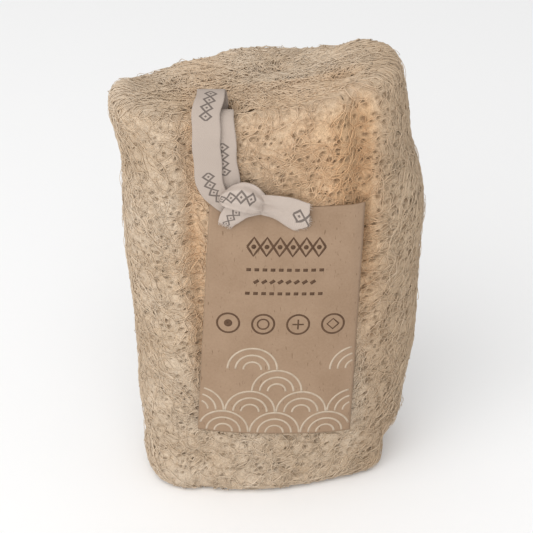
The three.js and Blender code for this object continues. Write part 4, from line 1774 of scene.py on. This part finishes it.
@dataclass
class CardLabel:
    """The brown card: a bent plate with a punched hole, and plain line printing on its face."""

    shape: BodyShape
    x: float = 3.9  # where its middle hangs
    z: float = 79.8
    width: float = 57.4
    height: float = 97.6
    taper: float = 0.022  # how much narrower its upper edge is, as a share of half the height
    thickness: float = 0.6
    turn: float = -0.048  # how it hangs askew, in radians
    gap: float = 0.4  # between the fibres and its back
    fibre_height: float = 0.8
    hole: tuple[float, float] = CARD_HOLE
    hole_radius: float = 2.2
    ink_height: float = 0.03
    print_middle: float = 0.5  # right of the card's own middle
    chain_height: float = 33.0  # above the card's middle
    chain_width: float = 29.0
    chain_tall: float = 7.4
    lozenges: int = 6
    chain_line: float = 0.85
    mark_rows: tuple[Place, ...] = ((23.6, 31.0, 0.0), (18.6, 24.0, 0.6), (13.6, 30.0, 0.0))
    mark_pitch: float = 3.0
    mark_half: float = 0.85
    mark_line: float = 1.25
    ring_height: float = 0.5
    ring_pitch: float = 13.0
    ring_radius: float = 4.1
    ring_line: float = 0.75
    figure_line: float = 0.6
    margin: float = 0.6
    scale_rows: int = 4
    scale_line: float = 0.75
    scale_shares: Place = (1.0, 0.68, 0.36)  # the radii of a fish scale's arcs

    def on_card(self, p: Array, q: Array, lift: Array) -> Array:
        """Points on the card's face.

        Args:
            p: Distance right of the card's middle.
            q: Distance above it.
            lift: Height over the middle of the card's thickness.

        Returns:
            (..., 3) drawing points.
        """
        p = p * (1 - self.taper * q / (self.height / 2))
        x = self.x + p * math.cos(self.turn) - q * math.sin(self.turn)
        z = self.z + p * math.sin(self.turn) + q * math.cos(self.turn)
        return self.shape.on_front(x, z, self.fibre_height + self.gap + self.thickness / 2 + lift)

    def plate(self) -> Piece:
        """The card: a grid without the faces over the hole, whose edge points move onto the hole's circle.

        Returns:
            The piece.
        """
        columns = 59
        rows = 100
        p = np.linspace(-self.width / 2, self.width / 2, columns)[None, :]
        q = np.linspace(-self.height / 2, self.height / 2, rows)[:, None]
        p, q = (a.copy() for a in np.broadcast_arrays(p, q))
        away_x, away_z = self.hole[0] - self.x, self.hole[1] - self.z
        hole_p = away_x * math.cos(self.turn) + away_z * math.sin(self.turn)
        hole_q = away_z * math.cos(self.turn) - away_x * math.sin(self.turn)
        quads = MeshMaker.grid_quads(rows, columns, False)
        flat_p, flat_q = p.reshape(-1), q.reshape(-1)
        middle = np.hypot(flat_p[quads].mean(axis=1) - hole_p, flat_q[quads].mean(axis=1) - hole_q)
        kept, lost = quads[middle >= self.hole_radius], quads[middle < self.hole_radius]
        edge = np.intersect1d(kept, lost)
        reach = np.hypot(flat_p[edge] - hole_p, flat_q[edge] - hole_q)
        flat_p[edge] = hole_p + (flat_p[edge] - hole_p) * self.hole_radius / reach
        flat_q[edge] = hole_q + (flat_q[edge] - hole_q) * self.hole_radius / reach
        used, renumbered = np.unique(kept, return_inverse=True)
        points = self.on_card(flat_p[used], flat_q[used], np.zeros(len(used)))
        card = MeshMaker.make("kraft_card", points, renumbered.reshape(kept.shape))
        wall = card.modifiers.new("card_thickness", "SOLIDIFY")
        wall.thickness = self.thickness * METRES
        wall.offset = 0.0
        return card

    def line(self, path: Array, width: float, closed: bool) -> tuple[Array, Array]:
        """A printed line of even width along a flat path on the card.

        Args:
            path: (n, 2) places on the card.
            width: The line's width.
            closed: Whether the path joins up.

        Returns:
            (points, quads) a hair above the card's face.
        """
        if closed:
            step = np.roll(path, -1, axis=0) - np.roll(path, 1, axis=0)
        else:
            step = np.gradient(path, axis=0)
        side = unit(np.stack([step[:, 1], -step[:, 0]], axis=-1)) * width / 2
        both = np.stack([path + side, path - side], axis=1).reshape(-1, 2)
        lift = np.full(len(both), self.thickness / 2 + self.ink_height)
        points = self.on_card(both[:, 0], both[:, 1], lift)
        k = np.arange(len(path) if closed else len(path) - 1)
        after = (k + 1) % len(path)
        return points, np.stack([2 * k, 2 * after, 2 * after + 1, 2 * k + 1], axis=-1)

    def printed(self, name: str, lines: list[Line]) -> Piece:
        """Joins printed lines into one thin piece.

        Args:
            name: The piece's name.
            lines: The lines.

        Returns:
            The piece.
        """
        points, quads = join_parts([self.line(*line) for line in lines])
        piece = MeshMaker.make(name, points, quads)
        film = piece.modifiers.new("ink_film", "SOLIDIFY")
        film.thickness = self.ink_height * METRES
        return piece

    @staticmethod
    def circle(p: float, q: float, radius: float, turn: float = TURN, count: int = 40) -> Array:
        """(count, 2) places on an arc that starts at the right; a full circle leaves its last place out."""
        angle = np.linspace(0, turn, count, endpoint=turn < TURN)
        return np.stack([p + radius * np.cos(angle), q + radius * np.sin(angle)], axis=-1)

    def zigzag(self, flip: float) -> Array:
        """Places on a zigzag line, which starts and ends halfway up.

        Args:
            flip: 1, or -1 for its mirror image upside down.

        Returns:
            (n, 2) places.
        """
        teeth = self.lozenges // 2
        run = np.linspace(-0.5, 0.5, teeth * 8 + 1)
        wave = 2 * np.abs(((run + 0.5) * teeth + 0.25) % 1.0 - 0.5) - 0.5
        p = self.print_middle + run * self.chain_width
        return np.stack([p, self.chain_height + flip * wave * self.chain_tall], axis=-1)

    def heading_lines(self) -> list[Line]:
        """The lozenge chain: two zigzags that mirror each other, and a dot in each lozenge.

        Returns:
            The lines.
        """
        lines = [(self.zigzag(flip), self.chain_line, False) for flip in (1.0, -1.0)]
        for k in range(self.lozenges):
            p = self.print_middle + (k - (self.lozenges - 1) / 2) * self.chain_width / self.lozenges
            lines.append((self.circle(p, self.chain_height, 0.45), 0.9, True))
        return lines

    def mark_lines(self) -> list[Line]:
        """The rows of short strokes: each row has its height on the card, its width and its tilt.

        Returns:
            The lines.
        """
        lines = []
        for height, wide, tilt in self.mark_rows:
            count = int(wide / self.mark_pitch)
            for k in range(count):
                p = self.print_middle + (k - (count - 1) / 2) * self.mark_pitch
                ends = [[p - self.mark_half, height - tilt], [p, height], [p + self.mark_half, height + tilt]]
                lines.append((np.array(ends), self.mark_line, False))
        return lines

    def brown_lines(self) -> list[Line]:
        """The brown printing: a lozenge chain, three rows of strokes and rings with plain figures.

        Returns:
            The lines.
        """
        lines = self.heading_lines() + self.mark_lines()
        for k, mark in enumerate(Mark):
            p = self.ring_pitch * (k - (len(Mark) - 1) / 2)
            lines.append((self.circle(p, self.ring_height, self.ring_radius), self.ring_line, True))
            lines.extend(self.figure(mark, p, self.ring_height))
        return lines

    def figure(self, mark: Mark, p: float, q: float) -> list[Line]:
        """The plain figure inside one ring.

        Args:
            mark: Which figure.
            p: The ring's middle, right of the card's.
            q: The ring's middle, above it.

        Returns:
            The lines.
        """
        if mark is Mark.DOT:
            return [(self.circle(p, q, 0.8), 1.5, True)]
        if mark is Mark.RING:
            return [(self.circle(p, q, 2.1), self.figure_line, True)]
        if mark is Mark.CROSS:
            bar = np.linspace(-2.1, 2.1, 3)
            level = (np.stack([p + bar, np.full(3, q)], axis=-1), self.figure_line, False)
            upright = (np.stack([np.full(3, p), q + bar], axis=-1), self.figure_line, False)
            return [level, upright]
        corner = self.circle(p, q, 2.2, count=4)
        return [(np.concatenate([corner, corner[:1]]), self.figure_line, False)]

    def white_lines(self) -> list[Line]:
        """The white line-work: rows of fish-scale arcs along the foot of the card, fewer towards the top.

        Returns:
            The lines.
        """
        lines = []
        radius = self.width / 6
        foot = self.margin - self.height / 2
        for row in range(self.scale_rows):
            for k in range(-1, 4):
                thinned = row >= self.scale_rows // 2 and (k + row) % 2 == 0
                if thinned:
                    continue
                p = -self.width / 2 + radius * (2 * k + 1 + row % 2)
                for share in self.scale_shares:
                    arc = self.circle(p, foot + row * radius, radius * share * 0.97, math.pi, 30)
                    inside = np.abs(arc[:, 0]) < self.width / 2 - self.margin
                    if inside.sum() > 4:
                        lines.append((arc[inside], self.scale_line, False))
        return lines

    def build(self) -> None:
        """Makes and dresses the card and its printing."""
        dress(self.plate(), CardFinish().make(), "kraft_card", "card_label")
        brown = InkFinish("brown_ink", srgb(80, 58, 41), srgb(96, 72, 53)).make()
        white = InkFinish("white_ink", srgb(192, 175, 155), srgb(176, 158, 137)).make()
        dress(self.printed("card_brown_printing", self.brown_lines()), brown, "kraft_card")
        dress(self.printed("card_white_printing", self.white_lines()), white, "kraft_card")


@dataclass
class Studio:
    """The pale floor, the soft lights and the camera at the photograph's angle, in metres."""

    target: Place = (-0.0024, 0.0018, 0.0862)
    distance: float = 0.7
    elevation: float = 30.0
    lens: float = 122.9
    floor_half: float = 6.0
    floor_grey: float = 0.97
    surround: float = 0.64
    key_place: Place = (-0.55, -1.27, 1.2)
    key_size: float = 2.2
    key_power: float = 30.0

    def build(self) -> None:
        """Makes the floor, the world, the light and the camera."""
        self.floor()
        self.world()
        self.key_light()
        self.camera()

    def floor(self) -> None:
        """A plain pale floor far wider than the view."""
        mesh = bpy.data.meshes.new("floor")
        half = self.floor_half
        corners = [(-half, -half, 0), (half, -half, 0), (half, half, 0), (-half, half, 0)]
        mesh.from_pydata(corners, [], [(0, 1, 2, 3)])
        floor = bpy.data.objects.new("floor", mesh)
        bpy.context.scene.collection.objects.link(floor)
        material, _, shader = new_material("pale_floor", 0.9)
        shader.inputs["Base Color"].default_value = (self.floor_grey,) * 3 + (1.0,)
        mesh.materials.append(material)

    def world(self) -> None:
        """An even white surround, shown in plain screen colours."""
        world = bpy.data.worlds.new("soft_surround")
        world.use_nodes = True
        background = world.node_tree.nodes["Background"]
        background.inputs["Color"].default_value = (1, 1, 1, 1)
        background.inputs["Strength"].default_value = self.surround
        bpy.context.scene.world = world
        bpy.context.scene.view_settings.view_transform = "Standard"

    def key_light(self) -> None:
        """A large square light from the front left that faces the sponge."""
        data = bpy.data.lights.new("key_light", "AREA")
        data.energy = self.key_power
        data.size = self.key_size
        light = bpy.data.objects.new("key_light", data)
        light.location = self.key_place
        away = Vector(self.key_place) - Vector(self.target)
        light.rotation_euler = away.to_track_quat("Z", "Y").to_euler()
        bpy.context.scene.collection.objects.link(light)

    def camera(self) -> None:
        """The camera, straight in front and looking down at the photograph's angle."""
        angle = math.radians(self.elevation)
        back = Vector((0, -math.cos(angle), math.sin(angle)))
        data = bpy.data.cameras.new("camera")
        data.sensor_width = 36.0
        data.lens = self.lens
        camera = bpy.data.objects.new("camera", data)
        camera.location = Vector(self.target) + back * self.distance
        camera.rotation_euler = back.to_track_quat("Z", "Y").to_euler()
        bpy.context.scene.collection.objects.link(camera)
        bpy.context.scene.camera = camera


def main() -> None:
    """Builds the studio, the sponge, the tape and the card in order."""
    logging.basicConfig(level=logging.INFO, format="%(message)s")
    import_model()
    Studio().build()
    shape = BodyShape()
    LoofahSponge(shape, Skin(shape)).build()
    HangingTape(shape).build()
    CardLabel(shape).build()


if __name__ == "__main__":
    main()
